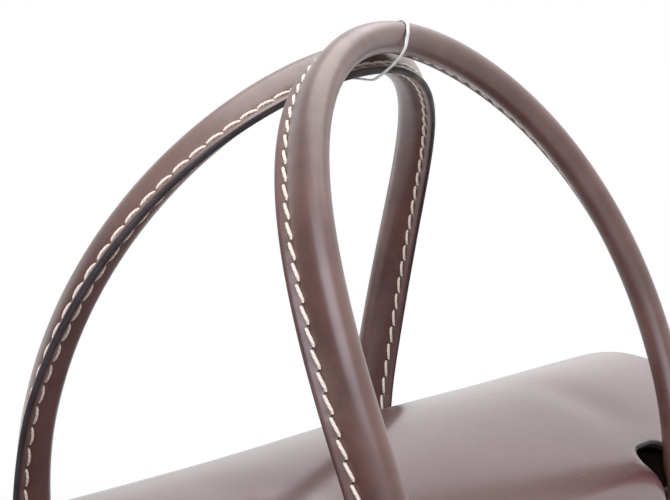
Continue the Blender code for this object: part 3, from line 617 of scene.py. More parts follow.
def sewStitches(name, body, seams, look=stitchLook):
    # each seam is points on the surface, the normals there and which way the stitches slant
    verts, faces, kinds, marks = [], [], [], []
    for points, normals, slantWay in seams:
        points, normals = np.asarray(points, float), np.asarray(normals, float)
        stitches = max(1, round(runAlong(points)[-1] / look["pitch"]))
        joined = resample(np.hstack([points, normals]), stitches + 1)
        for start, end in zip(joined, joined[1:]):
            addStitch(verts, faces, kinds, marks, start, end, slantWay, look)
    # the second material is the painted shade of the awl holes
    stitches = newPiece(name, verts, faces, ["saddleThread", "edgePaint"], kinds, marks)
    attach(stitches, body)


def addStitch(verts, faces, kinds, marks, start, end, slantWay, look):
    # one stitch from a place and its normal to the next
    run = end[:3] - start[:3]
    along = run / np.linalg.norm(run)
    up = start[3:] + end[3:]
    up = up / np.linalg.norm(up)
    side = np.cross(up, along) * slantWay
    half = (np.linalg.norm(run) - look["gap"]) / 2
    middle = (start[:3] + end[:3]) / 2
    base, count = len(verts), look["sides"]
    for ring in range(look["rings"]):
        t = ring / (look["rings"] - 1)
        fromMiddle = 2 * t - 1
        swell = max(sin(pi * t), 0.0) ** look["bluntness"]
        lift = mix(-look["sinkAtEnds"], look["rise"], swell)
        sway = look["slant"] * ((1 + look["sweep"]) * fromMiddle - look["sweep"] * fromMiddle ** 3)
        centre = middle + along * half * fromMiddle + side * sway + up * lift
        radius = look["threadRadius"] * mix(look["endShare"], 1.0, swell)
        for step in range(count):
            angle = 2 * pi * step / count
            out = side * cos(angle) * slantWay + up * sin(angle) * look["heightShare"]
            verts.append(centre + out * radius)
            marks.append((half * 2 * t, step / count))
    for ring in range(look["rings"] - 1):
        for step in range(count):
            after = (step + 1) % count
            low = base + ring * count
            faces.append((low + step, low + after, low + count + after, low + count + step))
            kinds.append(0)
    faces.append(tuple(range(base, base + count)))
    faces.append(tuple(reversed(range(len(verts) - count, len(verts)))))
    kinds += [0, 0]
    addAwlHoleShade(verts, faces, kinds, marks, start[:3], along, side, up, look)


def addAwlHoleShade(verts, faces, kinds, marks, place, along, side, up, look):
    # a dark slit that lies across the seam, in the edge paint's dark material: painted shade
    # standing for the awl hole's depth
    base, count = len(verts), look["holeSides"]
    long = (side * look["holeAcross"] - along * look["holeAlong"]) * look["holeLength"] / 2
    wide = np.cross(up, long)
    wide = wide / np.linalg.norm(wide) * look["holeWidth"] / 2
    for step in range(count):
        angle = 2 * pi * step / count
        verts.append(place + long * cos(angle) + wide * sin(angle) + up * look["holeRim"])
    verts.append(place + up * look["holeTop"])
    verts.append(place + up * look["holeFloor"])
    marks += [(0.0, 0.0)] * (count + 2)
    for step in range(count):
        after = (step + 1) % count
        faces.append((base + step, base + after, base + count))
        faces.append((base + after, base + step, base + count + 1))
        kinds += [1, 1]


def seamOn(surface, path, facing, slantWay):
    # a seam along a path of (u, v) on a surface
    path = resample(path, seamProbe["steps"])
    points = liftedPoints(surface, path[:, 0], path[:, 1], 0.0, facing)
    higher = liftedPoints(surface, path[:, 0], path[:, 1], seamProbe["lift"], facing)
    return points, (higher - points) / seamProbe["lift"], slantWay


# The back panel and the flap are one sheet of leather: up the back, over the crown and down the lip

flapCut = {
    "leather": 0.0022, "liningLeather": 0.001, "liningMargin": 0.0015,
    "overhang": 0.002, "overhangRun": 0.03,    # it starts this far behind the hinge
    "lipGap": 0.0005, "lipRadius": 0.013, "lipDrop": 0.036, "lipCornerRadius": 0.026,
    "slotInner": 0.0800, "slotOuter": 0.1085, "slotReach": 0.0510, "slotEndRadius": 0.010,
    "lobeRadius": 0.014,       # the lip's corners beside the slots
    "stitchInset": 0.0042, "seamHeight": 0.031, "backSeamFoot": 0.022, "backSeamTop": 0.034,
    "dentPlace": 0.098, "dentWidth": 0.014, "dentDepth": 0.0012, "dentRun": 0.03,
    "crownWaves": (0.052, 0.0007, 0.7), "hingeRun": 0.02, "slotRun": 0.03,
    "backWaves": (0.06, 0.0006, 1.9), "backFullness": 0.0006,
    "backFootRun": 0.04, "backTopRun": 0.05, "backTopGap": 0.03,
    "wallSteps": 120, "crownSteps": 90, "shoulderSteps": 30, "lipSteps": 40, "lobeSteps": 12,
    "slotSteps": 9, "cornerSteps": 16, "spacing": 0.003,
    "columns": 92, "leatherGrid": (0.0016, 0.0042), "liningGrid": (0.0022, 0.005),
    "gridEdge": 0.002, "fineReach": 0.03, "finePast": 0.004,
}


def makeCrownProfile():
    cut, rim = flapCut, bodyShape["rimHeight"]
    flapThickness = cut["leather"] + bodyShape["restGap"] + cut["liningLeather"]
    face = bodyShape["rimDepth"] / 2
    heights = np.linspace(bodyShape["panelFoot"], rim, cut["wallSteps"])
    wall = [(faceDepth(height), height) for height in heights]
    back = shoulderLine(face, bodyShape["shoulderRadius"], rim,
                        cut["crownSteps"], cut["shoulderSteps"])
    front = shoulderLine(face + cut["lipGap"] + flapThickness, cut["lipRadius"],
                         rim - cut["lipDrop"], cut["crownSteps"], cut["lipSteps"])
    line = wall[:-1] + back[:-1][::-1] + [(-depth, height) for depth, height in front[1:]]
    line = np.array(line)
    return runAlong(line), line


crownRun, crownLine = makeCrownProfile()
lipEnd = crownRun[-1]
overTop = crownLine[:, 1] > bodyShape["rimHeight"]


def runAtDepth(depth):
    # how far along the sheet the crown reaches a depth
    return float(np.interp(-depth, -crownLine[overTop, 0], crownRun[overTop]))


hingeRun = runAtDepth(bodyShape["hingeDepth"])
slotRun = runAtDepth(-flapCut["slotReach"])
ridgeRun = runAtDepth(0.0)


def crownSurface(u, v):
    cut = flapCut
    depth = np.interp(v, crownRun, crownLine[:, 0])
    height = np.interp(v, crownRun, crownLine[:, 1])
    below = np.minimum(v, 0.0)
    beyond = np.maximum(v - lipEnd, 0.0)
    depth = depth - beyond * rimSlope
    height = height + below - beyond
    onCrown = smooth((v - hingeRun) / cut["hingeRun"]) * smooth((slotRun - v) / cut["slotRun"])
    height = height + unevenness(u, v, *cut["crownWaves"]) * onCrown
    dent = np.exp(-((np.abs(u) - cut["dentPlace"]) / cut["dentWidth"]) ** 2)
    height = height - cut["dentDepth"] * dent * smooth((v - ridgeRun) / cut["dentRun"]) * onCrown
    onBack = smooth(v / cut["backFootRun"])
    onBack = onBack * smooth((hingeRun - cut["backTopGap"] - v) / cut["backTopRun"])
    depth = depth + (cut["backFullness"] + unevenness(u, v, *cut["backWaves"])) * onBack
    return np.stack([u, depth, height], axis=-1)


def halfWidth(v):
    share = smooth((v - hingeRun + flapCut["overhangRun"]) / flapCut["overhangRun"])
    return bodyShape["panelLength"] / 2 + flapCut["overhang"] * share


def arc(centre, radius, start, end, steps):
    angles = np.radians(np.linspace(start, end, steps))
    return [(centre[0] + radius * cos(angle), centre[1] + radius * sin(angle)) for angle in angles]


def straight(start, end, spacing, length):
    # the points between start and end, without them
    steps = max(2, round(length / spacing))
    return [(mix(start[0], end[0], step / steps), mix(start[1], end[1], step / steps))
            for step in range(1, steps)]


def lipPath(inset, margin=0.0):
    # the lip's edge from the middle to the right hand side, round both corners of the slot
    cut = flapCut
    inset = inset + margin
    edge, spacing = lipEnd, cut["spacing"]
    inner, outer, side = cut["slotInner"], cut["slotOuter"], halfWidth(lipEnd)
    lobe, corner, slot = cut["lobeRadius"], cut["lipCornerRadius"], cut["slotEndRadius"]
    reach = slotRun + slot
    slotSide = edge - lobe - reach
    path = [(0.0, edge - inset)]
    path += straight((0, edge - inset), (inner - lobe, edge - inset), spacing, inner - lobe)
    path += arc((inner - lobe, edge - lobe), lobe - inset, 90, 0, cut["lobeSteps"])
    path += straight((inner - inset, edge - lobe), (inner - inset, reach), spacing, slotSide)
    path += arc((inner + slot, reach), slot + inset, 180, 270, cut["slotSteps"])
    path += straight((inner + slot, slotRun - inset), (outer - slot, slotRun - inset), spacing,
                     outer - inner - 2 * slot)
    path += arc((outer - slot, reach), slot + inset, 270, 360, cut["slotSteps"])
    path += straight((outer + inset, reach), (outer + inset, edge - lobe), spacing, slotSide)
    path += arc((outer + lobe, edge - lobe), lobe - inset, 180, 90, cut["lobeSteps"])
    path += straight((outer + lobe, edge - inset), (side - corner, edge - inset), spacing,
                     side - corner - outer - lobe)
    path += arc((side - corner, edge - corner), corner - inset, 90, 0, cut["cornerSteps"])
    return path


def mirrored(path):
    # the path, with its mirror image run backwards before it
    return [(-u, v) for u, v in reversed(path)][:-1] + path


def sheetOutline(inset, margin=0.0, start=0.0):
    # the lip, the sides and a straight end at the start; the margin narrows all of it
    sideEnd, spacing = lipEnd - flapCut["lipCornerRadius"], flapCut["spacing"]
    path = lipPath(inset, margin)
    for v in np.linspace(sideEnd, start, round((sideEnd - start) / spacing))[1:-1]:
        path.append((halfWidth(v) - margin - inset, v))
    corner = halfWidth(start) - margin
    path.append((corner - inset, start + inset))
    path += straight((corner - inset, start + inset), (0.0, start + inset), spacing, corner)
    path.append((0.0, start + inset))
    return mirrored(path)[1:]


def liningOutline(inset):
    margin = flapCut["liningMargin"]
    return sheetOutline(inset, margin, hingeRun + margin)


def unevenGrid(stops, fine, coarse):
    # grid lines that stand closer together inside the named stretches
    lines, at = [], stops[0][0]
    while at < stops[-1][1]:
        lines.append(at)
        at += fine if any(low <= at <= high and close for low, high, close in stops) else coarse
    return lines


def makeSheetLeather():
    cut = flapCut
    half = bodyShape["panelLength"] / 2
    reach, past = cut["fineReach"], cut["finePast"]
    gridU = np.linspace(-half - cut["overhang"], half + cut["overhang"], cut["columns"])
    stops = [(cut["gridEdge"], hingeRun - reach, False), (hingeRun - reach, hingeRun + past, True),
             (hingeRun + past, slotRun - past, False), (slotRun - past, slotRun + reach, True),
             (slotRun + reach, lipEnd, False)]
    sheet = cutSheet("back_and_flap_leather", sheetOutline, gridU,
                     unevenGrid(stops, *cut["leatherGrid"]), cut["leather"], crownSurface, -1,
                     ["crownLeather", "suede", "edgePaint"])
    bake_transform(sheet)
    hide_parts("back_panel", "flap")
    lining = cutSheet("flap_suede_lining", liningOutline, gridU,
                      unevenGrid(stops, *cut["liningGrid"]), cut["liningLeather"], crownSurface, -1,
                      ["suede", "suede", "edgePaint"],
                      sink=cut["leather"] + bodyShape["restGap"])
    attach(lining, "flap")
    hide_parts("flap_lining")


def lowStretches(path, limit):
    # the stretches of a path that lie on the lip, below a limit
    stretches, last = [], False
    for u, v in path:
        if v > limit:
            if not last:
                stretches.append([])
            stretches[-1].append((u, v))
        last = v > limit
    return stretches


def makeSheetStitches():
    cut = flapCut
    lip = lowStretches(mirrored(lipPath(cut["stitchInset"])), lipEnd - cut["seamHeight"])
    sewStitches("lip_stitches", "flap", [seamOn(crownSurface, path, -1, 1) for path in lip])
    seams = []
    for side in (-1, 1):
        across = side * (bodyShape["panelLength"] / 2 - cut["stitchInset"])
        path = [(across, cut["backSeamFoot"]), (across, hingeRun - cut["backSeamTop"])]
        seams.append(seamOn(crownSurface, path, -1, side))
    sewStitches("back_seam_stitches", "bag", seams)


makeSheetLeather()
makeSheetStitches()
print("back and flap leather made")


# Front panel, base and gussets

frontCut = {
    "cornerRadius": 0.003, "spacing": 0.003, "columns": 86, "rows": 56, "gridEdge": 0.003,
    "stitchInset": 0.0042, "seamFoot": 0.022,
    "waves": (0.058, 0.0006, 0.2), "fullness": 0.0007,
    "footGap": 0.03, "footRun": 0.04,          # where the fullness starts
    "topGap": 0.062, "topRun": 0.05,           # and where it ends
}
panelHeight = bodyShape["rimHeight"] - bodyShape["panelFoot"]


def frontSurface(u, v):
    cut = frontCut
    height = bodyShape["panelFoot"] + v
    soft = smooth((v - cut["footGap"]) / cut["footRun"])
    soft = soft * smooth((panelHeight - cut["topGap"] - v) / cut["topRun"])
    bulge = (cut["fullness"] + unevenness(u, v, *cut["waves"])) * soft
    return np.stack([u, -faceDepth(height) - bulge, height], axis=-1)


def rectangle(halfWide, high, radius, spacing):
    # the outline of a rounded rectangle that stands on v = 0, as a function of the inset
    cornerSteps = sheetMesh["cornerSteps"]

    def outline(inset):
        wide, right = halfWide - radius, halfWide - inset
        path = [(0.0, inset)]
        path += straight((0, inset), (wide, inset), spacing, wide)
        path += arc((wide, radius), radius - inset, 270, 360, cornerSteps)
        path += straight((right, radius), (right, high - radius), spacing, high - 2 * radius)
        path += arc((wide, high - radius), radius - inset, 0, 90, cornerSteps)
        path += straight((wide, high - inset), (0, high - inset), spacing, wide)
        path.append((0.0, high - inset))
        return path + [(-u, v) for u, v in reversed(path)][1:-1]

    return outline


def evenGrid(halfWide, high, edge, topEdge, columns, rows):
    return (np.linspace(-halfWide + edge, halfWide - edge, columns),
            np.linspace(topEdge, high - edge, rows))


def makeFrontPanel():
    cut, half = frontCut, bodyShape["panelLength"] / 2
    edge = cut["gridEdge"]
    gridU, gridV = evenGrid(half, panelHeight, edge, edge, cut["columns"], cut["rows"])
    outline = rectangle(half, panelHeight, cut["cornerRadius"], cut["spacing"])
    panel = cutSheet("front_panel_leather", outline, gridU, gridV, bodyShape["leather"],
                     frontSurface, 1, ["crownLeather", "suede", "edgePaint"])
    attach(panel, "bag")
    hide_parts("front_panel")
    across, top = half - cut["stitchInset"], panelHeight - cut["stitchInset"]
    seams = [seamOn(frontSurface, [(side * across, cut["seamFoot"]), (side * across, top)], 1, side)
             for side in (-1, 1)]
    seams.append(seamOn(frontSurface, [(-across, top), (across, top)], 1, 1))
    sewStitches("front_seam_stitches", "bag", seams)


traySize = {
    "leather": 0.0024, "side": 0.024, "bendRadius": 0.0054, "bendSteps": 12, "gap": 0.0004,
    "cornerRadius": 0.003, "stitchInset": 0.0038, "profileSteps": 240,
    "columns": 60, "grid": (0.0014, 0.005), "fineFrom": 0.014, "fineTo": 0.034, "spacing": 0.003,
}


def makeTrayProfile():
    size, low = traySize, bodyShape["groundGap"]
    wall = low + size["leather"]
    out = size["gap"] + size["leather"]
    bottom = faceDepth(wall) + out
    top = faceDepth(wall + size["side"]) + out
    radius = size["bendRadius"]
    line = [(-top, wall + size["side"]), (-bottom, low + radius)]
    line += arc((-bottom + radius, low + radius), radius, 180, 270, size["bendSteps"])
    line += [(-depth, height) for depth, height in reversed(line)]
    line = resample(line, size["profileSteps"])
    return runAlong(line), line


trayRun, trayLine = makeTrayProfile()


def traySurface(u, v):
    depth, height = np.interp(v, trayRun, trayLine[:, 0]), np.interp(v, trayRun, trayLine[:, 1])
    past = np.minimum(v, 0.0) - np.maximum(v - trayRun[-1], 0.0)
    return np.stack([u, depth, height - past], axis=-1)


def makeTray():
    size, half, total = traySize, bodyShape["panelLength"] / 2, trayRun[-1]
    edge, near, far = size["cornerRadius"], size["fineFrom"], size["fineTo"]
    stops = [(edge, near, False), (near, far, True), (far, total - far, False),
             (total - far, total - near, True), (total - near, total - edge, False)]
    tray = cutSheet("base_leather", rectangle(half, total, size["cornerRadius"], size["spacing"]),
                    np.linspace(-half + edge, half - edge, size["columns"]),
                    unevenGrid(stops, *size["grid"]), size["leather"], traySurface, -1,
                    ["crownLeather", "suede", "edgePaint"])
    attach(tray, "bag")
    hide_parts("base_panel")
    inset = size["stitchInset"]
    seams = [seamOn(traySurface, [(-half + inset, at), (half - inset, at)], -1, way)
             for at, way in ((inset, 1), (total - inset, -1))]
    sewStitches("base_stitches", "bag", seams)


gussetShape = {
    "leather": 0.0018, "webInset": 0.010, "edgeInset": 0.001, "turnRadius": 0.004, "fold": 0.012,
    "rise": 0.020, "cornerRadius": 0.002,
    "creaseHeight": 0.0024, "creaseWidth": 0.012, "creaseGrowth": 1.6, "creaseStart": 0.3,
    "waveLength": 0.034, "waveHeight": 0.0009, "waveShift": 0.9, "waveRun": 0.05,
    "clearRadii": 3, "columns": 84, "rows": 60, "gridEdge": 0.002, "gridFoot": 0.003,
    "spacing": 0.0025,
}


def gussetSurface(side):
    shape = gussetShape
    inner = bodyShape["panelLength"] / 2 - shape["webInset"] - shape["leather"]
    edge = bodyShape["panelLength"] / 2 - shape["edgeInset"]
    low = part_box("left_gusset")[0].z
    height = bodyShape["rimHeight"] - low
    meanHalf = faceDepth(low + height / 2) - bodyShape["leather"] - bodyShape["restGap"]
    radius = shape["turnRadius"]
    flange = edge - inner - radius
    meanRun = meanHalf - radius + radius * pi / 2 + flange

    def surface(u, v):
        flat = low + v
        share = (flat - bodyShape["groundGap"]) / bodyHeight
        half = faceDepth(flat) - bodyShape["leather"] - bodyShape["restGap"]
        web = half - radius
        run = np.abs(u) / meanRun * (web + radius * pi / 2 + flange)
        turn = np.clip((run - web) / radius, 0.0, pi / 2)
        out = inner + radius * (1 - np.cos(turn)) + np.maximum(run - web - radius * pi / 2, 0.0)
        across = np.where(run < web, run, web + radius * np.sin(turn)) * np.sign(u)
        middle = np.cos(pi * np.clip(across / (2 * half), -0.5, 0.5))
        inward = shape["fold"] * share * share * middle ** 2
        crease = np.exp(-(across / shape["creaseWidth"]) ** 2)
        crease = crease * smooth(share * shape["creaseGrowth"] - shape["creaseStart"])
        ripple = unevenness(across, flat, shape["waveLength"], shape["waveHeight"],
                            shape["waveShift"] + side)
        ripple = ripple * middle * smooth(v / shape["waveRun"])
        lift = shape["rise"] * (1 - (across / half) ** 2) * v / height
        # the foot's corners stay clear of the tray's bend
        corner = traySize["cornerRadius"]
        clear = smooth((np.abs(across) - half) / corner + shape["clearRadii"])
        up = flat + lift + corner * (1 - v / height) * clear
        out = out - inward + ripple - shape["creaseHeight"] * crease
        return np.stack([side * out, across, up], axis=-1)

    return surface, meanRun, height


def makeGussets():
    shape = gussetShape
    for name, side in (("left", -1), ("right", 1)):
        surface, halfRun, total = gussetSurface(side)
        gridU, gridV = evenGrid(halfRun, total, shape["gridEdge"], shape["gridFoot"],
                                shape["columns"], shape["rows"])
        outline = rectangle(halfRun, total, shape["cornerRadius"], shape["spacing"])
        piece = cutSheet(name + "_gusset_leather", outline, gridU, gridV, shape["leather"],
                         surface, side, ["gussetLeather", "suede", "edgePaint"],
                         sink=-shape["leather"])
        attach(piece, "bag")
        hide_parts(name + "_gusset")


makeFrontPanel()
makeTray()
makeGussets()
print("front panel, base and gussets made")


# Lining and slip pocket

liningShape = {
    "cloth": 0.0012, "gap": 0.0006, "cornerRadius": 0.007, "belowRim": 0.002,
    "hemHeight": 0.012, "hemProud": 0.0006,
    "cutSize": (0.804, 0.615), "cutArea": 0.266,      # floor and four walls, cut as one cross
    "foldRun": 0.02, "creaseShare": 1.2,              # how the ends follow the gussets' folds
    "wallSteps": 40, "wallPoints": 38, "cornerPoints": 8, "cornerTrim": 2, "endSteps": 22,
    "levels": 40,
}


def liningWall(height):
    return faceDepth(height) - bodyShape["leather"] - liningShape["gap"]


def liningRing(height, inset, at):
    # one level of the cloth, drawn at a height of its own
    shape = liningShape
    halfLong = bodyShape["panelLength"] / 2 - gussetShape["webInset"] - gussetShape["leather"]
    halfLong -= shape["gap"] + inset
    halfDeep = liningWall(height) - inset
    corner, trim = shape["cornerRadius"] - inset, shape["cornerTrim"]
    quarter = [(halfLong * step / shape["wallSteps"], -halfDeep)
               for step in range(shape["wallPoints"])]
    quarter += arc((halfLong - corner, -halfDeep + corner), corner, -90 + trim, -trim,
                   shape["cornerPoints"])
    quarter += [(halfLong, mix(-halfDeep + corner, 0.0, step / shape["endSteps"]))
                for step in range(1, shape["endSteps"])]
    line = quarter + [(x, -y) for x, y in reversed(quarter[1:])]
    line = line + [(-x, -y) for x, y in line]
    share = (height - bodyShape["groundGap"]) / bodyHeight
    ring = []
    for x, y in line:
        inward = gussetShape["fold"] * share * share * cos(pi * y / (2 * halfDeep)) ** 2
        inward += gussetShape["creaseHeight"] * shape["creaseShare"]
        nearEnd = smooth((abs(x) - halfLong + shape["foldRun"]) / shape["foldRun"])
        ring.append((x - (1 if x > 0 else -1) * inward * nearEnd, y, at))
    return ring


def makeLining():
    shape = liningShape
    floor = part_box("lining")[0].z
    top = bodyShape["rimHeight"] - shape["belowRim"]
    levels = np.linspace(floor, top, shape["levels"])
    rings = [liningRing(height, 0.0, height) for height in levels]
    for height in levels[::-1]:
        cloth = shape["cloth"] + (shape["hemProud"] if height > top - shape["hemHeight"] else 0.0)
        rings.append(liningRing(height, cloth, max(height, floor + shape["cloth"])))
    verts, faces = tubeMesh(rings)
    piece = newPiece("lining_cloth", verts, faces, ["liningCloth"])
    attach(piece, "bag")
    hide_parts("lining")


pocketShape = {
    "length": 0.190, "top": 0.206, "bottom": 0.118, "cloth": 0.0014, "cutSize": (0.199, 0.089),
    "bulge": 0.009, "margin": 0.022, "cornerRadius": 0.004, "spacing": 0.003,
    "columns": 60, "rows": 30, "gridEdge": 0.002,
    "seamInset": 0.004, "seamCorner": 0.002, "hemInset": 0.005, "hemDrop": 0.009,
}
pocketStitch = dict(stitchLook, pitch=0.0032, gap=0.0005, threadRadius=0.00022, slant=0.0001,
                    rise=0.0002, sinkAtEnds=0.0002, holeLength=0.0005, holeWidth=0.0002)


def pocketSurface(u, v):
    shape = pocketShape
    height = shape["bottom"] + v
    wall = liningWall(height) - liningShape["cloth"] - bodyShape["restGap"]
    fromSide = smooth((shape["length"] / 2 - np.abs(u)) / shape["margin"])
    stand = shape["bulge"] * fromSide * smooth(v / shape["margin"])
    return np.stack([u, wall - stand - shape["cloth"], height], axis=-1)


def makePocket():
    shape = pocketShape
    half, total = shape["length"] / 2, shape["top"] - shape["bottom"]
    edge = shape["gridEdge"]
    gridU, gridV = evenGrid(half, total, edge, edge, shape["columns"], shape["rows"])
    outline = rectangle(half, total, shape["cornerRadius"], shape["spacing"])
    piece = cutSheet("slip_pocket_cloth", outline, gridU, gridV, shape["cloth"],
                     pocketSurface, 1, ["liningCloth"] * 3)
    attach(piece, "bag")
    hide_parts("slip_pocket")
    inset, corner = shape["seamInset"], shape["seamCorner"]
    path = [(-half + inset, total - inset), (-half + inset, inset + corner),
            (-half + inset + corner, inset), (half - inset - corner, inset),
            (half - inset, inset + corner), (half - inset, total - inset)]
    across, up = half - shape["hemInset"], total - shape["hemDrop"]
    seams = [seamOn(pocketSurface, line, 1, 1) for line in (path, [(-across, up), (across, up)])]
    sewStitches("pocket_stitches", "bag", seams, pocketStitch)


makeLining()
makePocket()
print("lining and pocket made")


# Feet

footShape = {
    "radius": 0.0075, "flatRadius": 0.0045, "domeShare": 0.8, "domeSteps": 12,
    "rimHeight": 0.0004, "collarRadius": 0.0068, "collarRise": 0.0009,      # above the dome
    "sides": 48, "sharpDegrees": 40,
}


def footProfile():
    # (radius, height), from the flat underside to the base
    shape = footShape
    seat = bodyShape["groundGap"] - bodyShape["restGap"]
    dome = seat * shape["domeShare"]
    profile = [(shape["flatRadius"], 0.0)]
    for step in range(1, shape["domeSteps"] + 1):
        angle = pi / 2 * step / shape["domeSteps"]
        radius = mix(shape["flatRadius"], shape["radius"], sin(angle))
        profile.append((radius, dome * (1 - cos(angle))))
    profile += [(shape["radius"], dome + shape["rimHeight"]),
                (shape["collarRadius"], dome + shape["collarRise"]), (shape["collarRadius"], seat)]
    return profile


def makeFeet():
    angles = [2 * pi * side / footShape["sides"] for side in range(footShape["sides"])]
    for node in ("foot_left_front", "foot_left_back", "foot_right_front", "foot_right_back"):
        low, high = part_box(node)
        x, y = (low.x + high.x) / 2, (low.y + high.y) / 2
        rings = [[(x + radius * cos(angle), y + radius * sin(angle), height) for angle in angles]
                 for radius, height in footProfile()]
        verts, faces = tubeMesh(rings)
        foot = newPiece(node + "_dome", verts, faces, ["nickel"])
        foot.data.set_sharp_from_angle(angle=radians(footShape["sharpDegrees"]))
        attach(foot, "bag")
        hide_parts(node)


makeFeet()
print("feet made")


# Handles: leather rolled round a cord, its edges sewn into a flange, its ends flat tabs on the bag

handleShape = {
    # the teardrop, measured from the tube's middle
    "tubeRadius": 0.005, "flangeWidth": 0.0057, "flangeThickness": 0.0026, "creaseAt": 0.0069,
    "puffRise": 50.0, "puffMeets": 68.0, "beadRadius": 0.0011,
    "beadSteps": 4, "flatSteps": 7, "puffSteps": 9, "backSteps": 12, "paintSteps": 3,
    "seamOffset": 0.0073, "pucker": 0.00022, "puckerWidth": 0.0012, "puckerPower": 8,
    # the arch, whose foot is below the ridge by its drop
    "halfSpan": 0.0919, "archHeight": 0.1471, "shoulderOut": 0.0188, "shoulderUp": 0.1039,
    "crownPull": 0.0466, "archDrop": 0.0148, "archPlane": 0.0644, "archSteps": 160,
    "stationsPerStitch": 8, "smoothPasses": 3,
    # the legs, flat at the fold, and what starts or fades above it
    "legLength": 0.024, "legOffset": 0.0905, "legSteps": 40, "jointShare": 0.1, "foldFlare": 0.12,
    "endHalfWidth": 0.0065, "endHalfThickness": 0.0022, "flattenLength": 0.017,
    "flangeStart": 0.012, "flangeFull": 0.024, "paintStart": 0.003, "seamStart": 0.006,
    "swellShare": 0.09, "swellLength": 0.050,
    # the tabs
    "tabHalfWidth": 0.009, "tabThickness": 0.0024, "tabLength": 0.060, "tabSteps": 60,
    "tabSettle": 0.008, "tabFrom": 0.004, "tabRun": 0.009, "tabSquareness": 0.30, "tabTip": 0.002,
    "tabStitchInset": 0.0024, "tabSeamTop": 0.012, "tabSeamSteps": 200, "tabArcSteps": 24,
    "seamSink": 0.00008,
    "blendBelow": 0.005, "blendAbove": 0.011,
}
handleLeans = {
    "front": {
        "sign": -1, "lean": 13.7, "bow": 17.1, "shift": -0.0053, "pull": -0.0042, "twist": -0.001,
        "turnLeg": 132.0, "turnCrest": 76.0, "turnPower": 2.0, "turnSkew": 8.0, "pitch": 0.0061},
    "back": {
        "sign": 1, "lean": 7.6, "bow": 35.9, "shift": 0.0093, "pull": 0.001, "twist": 0.0093,
        "turnLeg": 147.0, "turnCrest": 64.0, "turnPower": 1.2, "turnSkew": -24.0, "pitch": 0.0066},
}
tabStitch = dict(stitchLook, pitch=0.0048, threadRadius=0.00038, slant=0.0003)
archLevel = ridgeHeight - handleShape["archDrop"]
foldLevel = archLevel - handleShape["legLength"]


def halfArch(lean, side):
    # one side of the arch from its foot to its crest, with the share of its height
    shape, steps = handleShape, handleShape["archSteps"]
    points, inward, up, before = [], 0.0, 0.0, 0.0
    for step in range(steps + 1):
        t = step / steps
        # a cubic curve, by the shares of its four guiding points
        a, b, c, d = (1 - t) ** 3, 3 * (1 - t) ** 2 * t, 3 * (1 - t) * t * t, t ** 3
        out = a * shape["halfSpan"] + b * (shape["halfSpan"] + shape["shoulderOut"])
        out += c * shape["crownPull"]
        rise = b * shape["shoulderUp"] + (c + d) * shape["archHeight"]
        angle = radians(lean["lean"] + lean["bow"] * (rise + before) / 2 / shape["archHeight"])
        inward += sin(angle) * (rise - before)
        up += cos(angle) * (rise - before)
        before = rise
        share = rise / shape["archHeight"]
        crest = share * share
        depth = lean["sign"] * (shape["archPlane"] - inward) + lean["pull"] * crest
        depth += lean["twist"] * side * out / shape["halfSpan"] * share
        points.append((side * out + lean["shift"] * crest, depth, archLevel + up, share))
    return np.array(points)


def wholeLeg(lean, side):
    # from the tab's tip up through the fold to the crest; columns are x, y, z and share of the arch
    shape, sign = handleShape, lean["sign"]
    arch = halfArch(lean, side)
    joint = round(shape["jointShare"] * (len(arch) - 1))
    gap = flapCut["lipGap"] + shape["endHalfThickness"]
    fold = np.array([side * shape["legOffset"], sign * (faceDepth(foldLevel) + gap), foldLevel])
    way = arch[joint + 1, :3] - arch[joint - 1, :3]
    way /= np.linalg.norm(way)
    reach = np.linalg.norm(arch[joint, :3] - fold)
    out = np.array([0.0, sign * shape["foldFlare"], 1.0])
    out /= np.linalg.norm(out)
    foot = []
    for step in range(shape["legSteps"]):
        t = step / shape["legSteps"]
        place = fold * (2 * t ** 3 - 3 * t * t + 1) + out * reach * (t ** 3 - 2 * t * t + t)
        place = place + arch[joint, :3] * (3 * t * t - 2 * t ** 3) + way * reach * (t ** 3 - t * t)
        foot.append((*place, arch[joint, 3] * t))
    tab = []
    tabGap = bodyShape["restGap"] + shape["tabThickness"] / 2
    for step in range(shape["tabSteps"]):
        down = shape["tabLength"] * (1 - step / shape["tabSteps"])
        height = foldLevel - down
        depth = faceDepth(height) + mix(gap, tabGap, float(smooth(down / shape["tabSettle"])))
        tab.append((side * shape["legOffset"], sign * depth, height, 0.0))
    return np.array(tab + foot + [tuple(row) for row in arch[joint:]])


def handleStations(lean, spacing):
    # evenly spaced stations from tab to tab with their axes
    path = np.vstack([wholeLeg(lean, -1), wholeLeg(lean, 1)[::-1][1:]])
    run = runAlong(path[:, :3])
    goals = np.linspace(0.0, run[-1], round(run[-1] / spacing) + 1)
    rows = np.stack([np.interp(goals, run, column) for column in path.T], axis=1)
    along = np.gradient(rows[:, :3], axis=0)
    for _ in range(handleShape["smoothPasses"]):
        along[1:-1] = (along[:-2] + along[1:-1] * 2 + along[2:]) / 4
    along /= np.linalg.norm(along, axis=1)[:, None]
    depthAxis = np.array([0.0, 1.0, 0.0]) - along * along[:, 1:2]
    depthAxis /= np.linalg.norm(depthAxis, axis=1)[:, None]
    inward = np.cross(depthAxis, along)
    turn = mix(lean["turnLeg"], lean["turnCrest"], rows[:, 3] ** lean["turnPower"])
    turn = np.radians(turn + lean["turnSkew"] * rows[:, 0] / handleShape["halfSpan"])[:, None]
    flange = inward * np.cos(turn) - depthAxis * lean["sign"] * np.sin(turn)
    height = np.minimum(goals, run[-1] - goals) - handleShape["tabLength"]
    return {"centre": rows[:, :3], "depthAxis": depthAxis, "inward": inward, "flange": flange,
            "cross": np.cross(along, flange), "height": height, "run": goals,
            "pitch": lean["pitch"]}


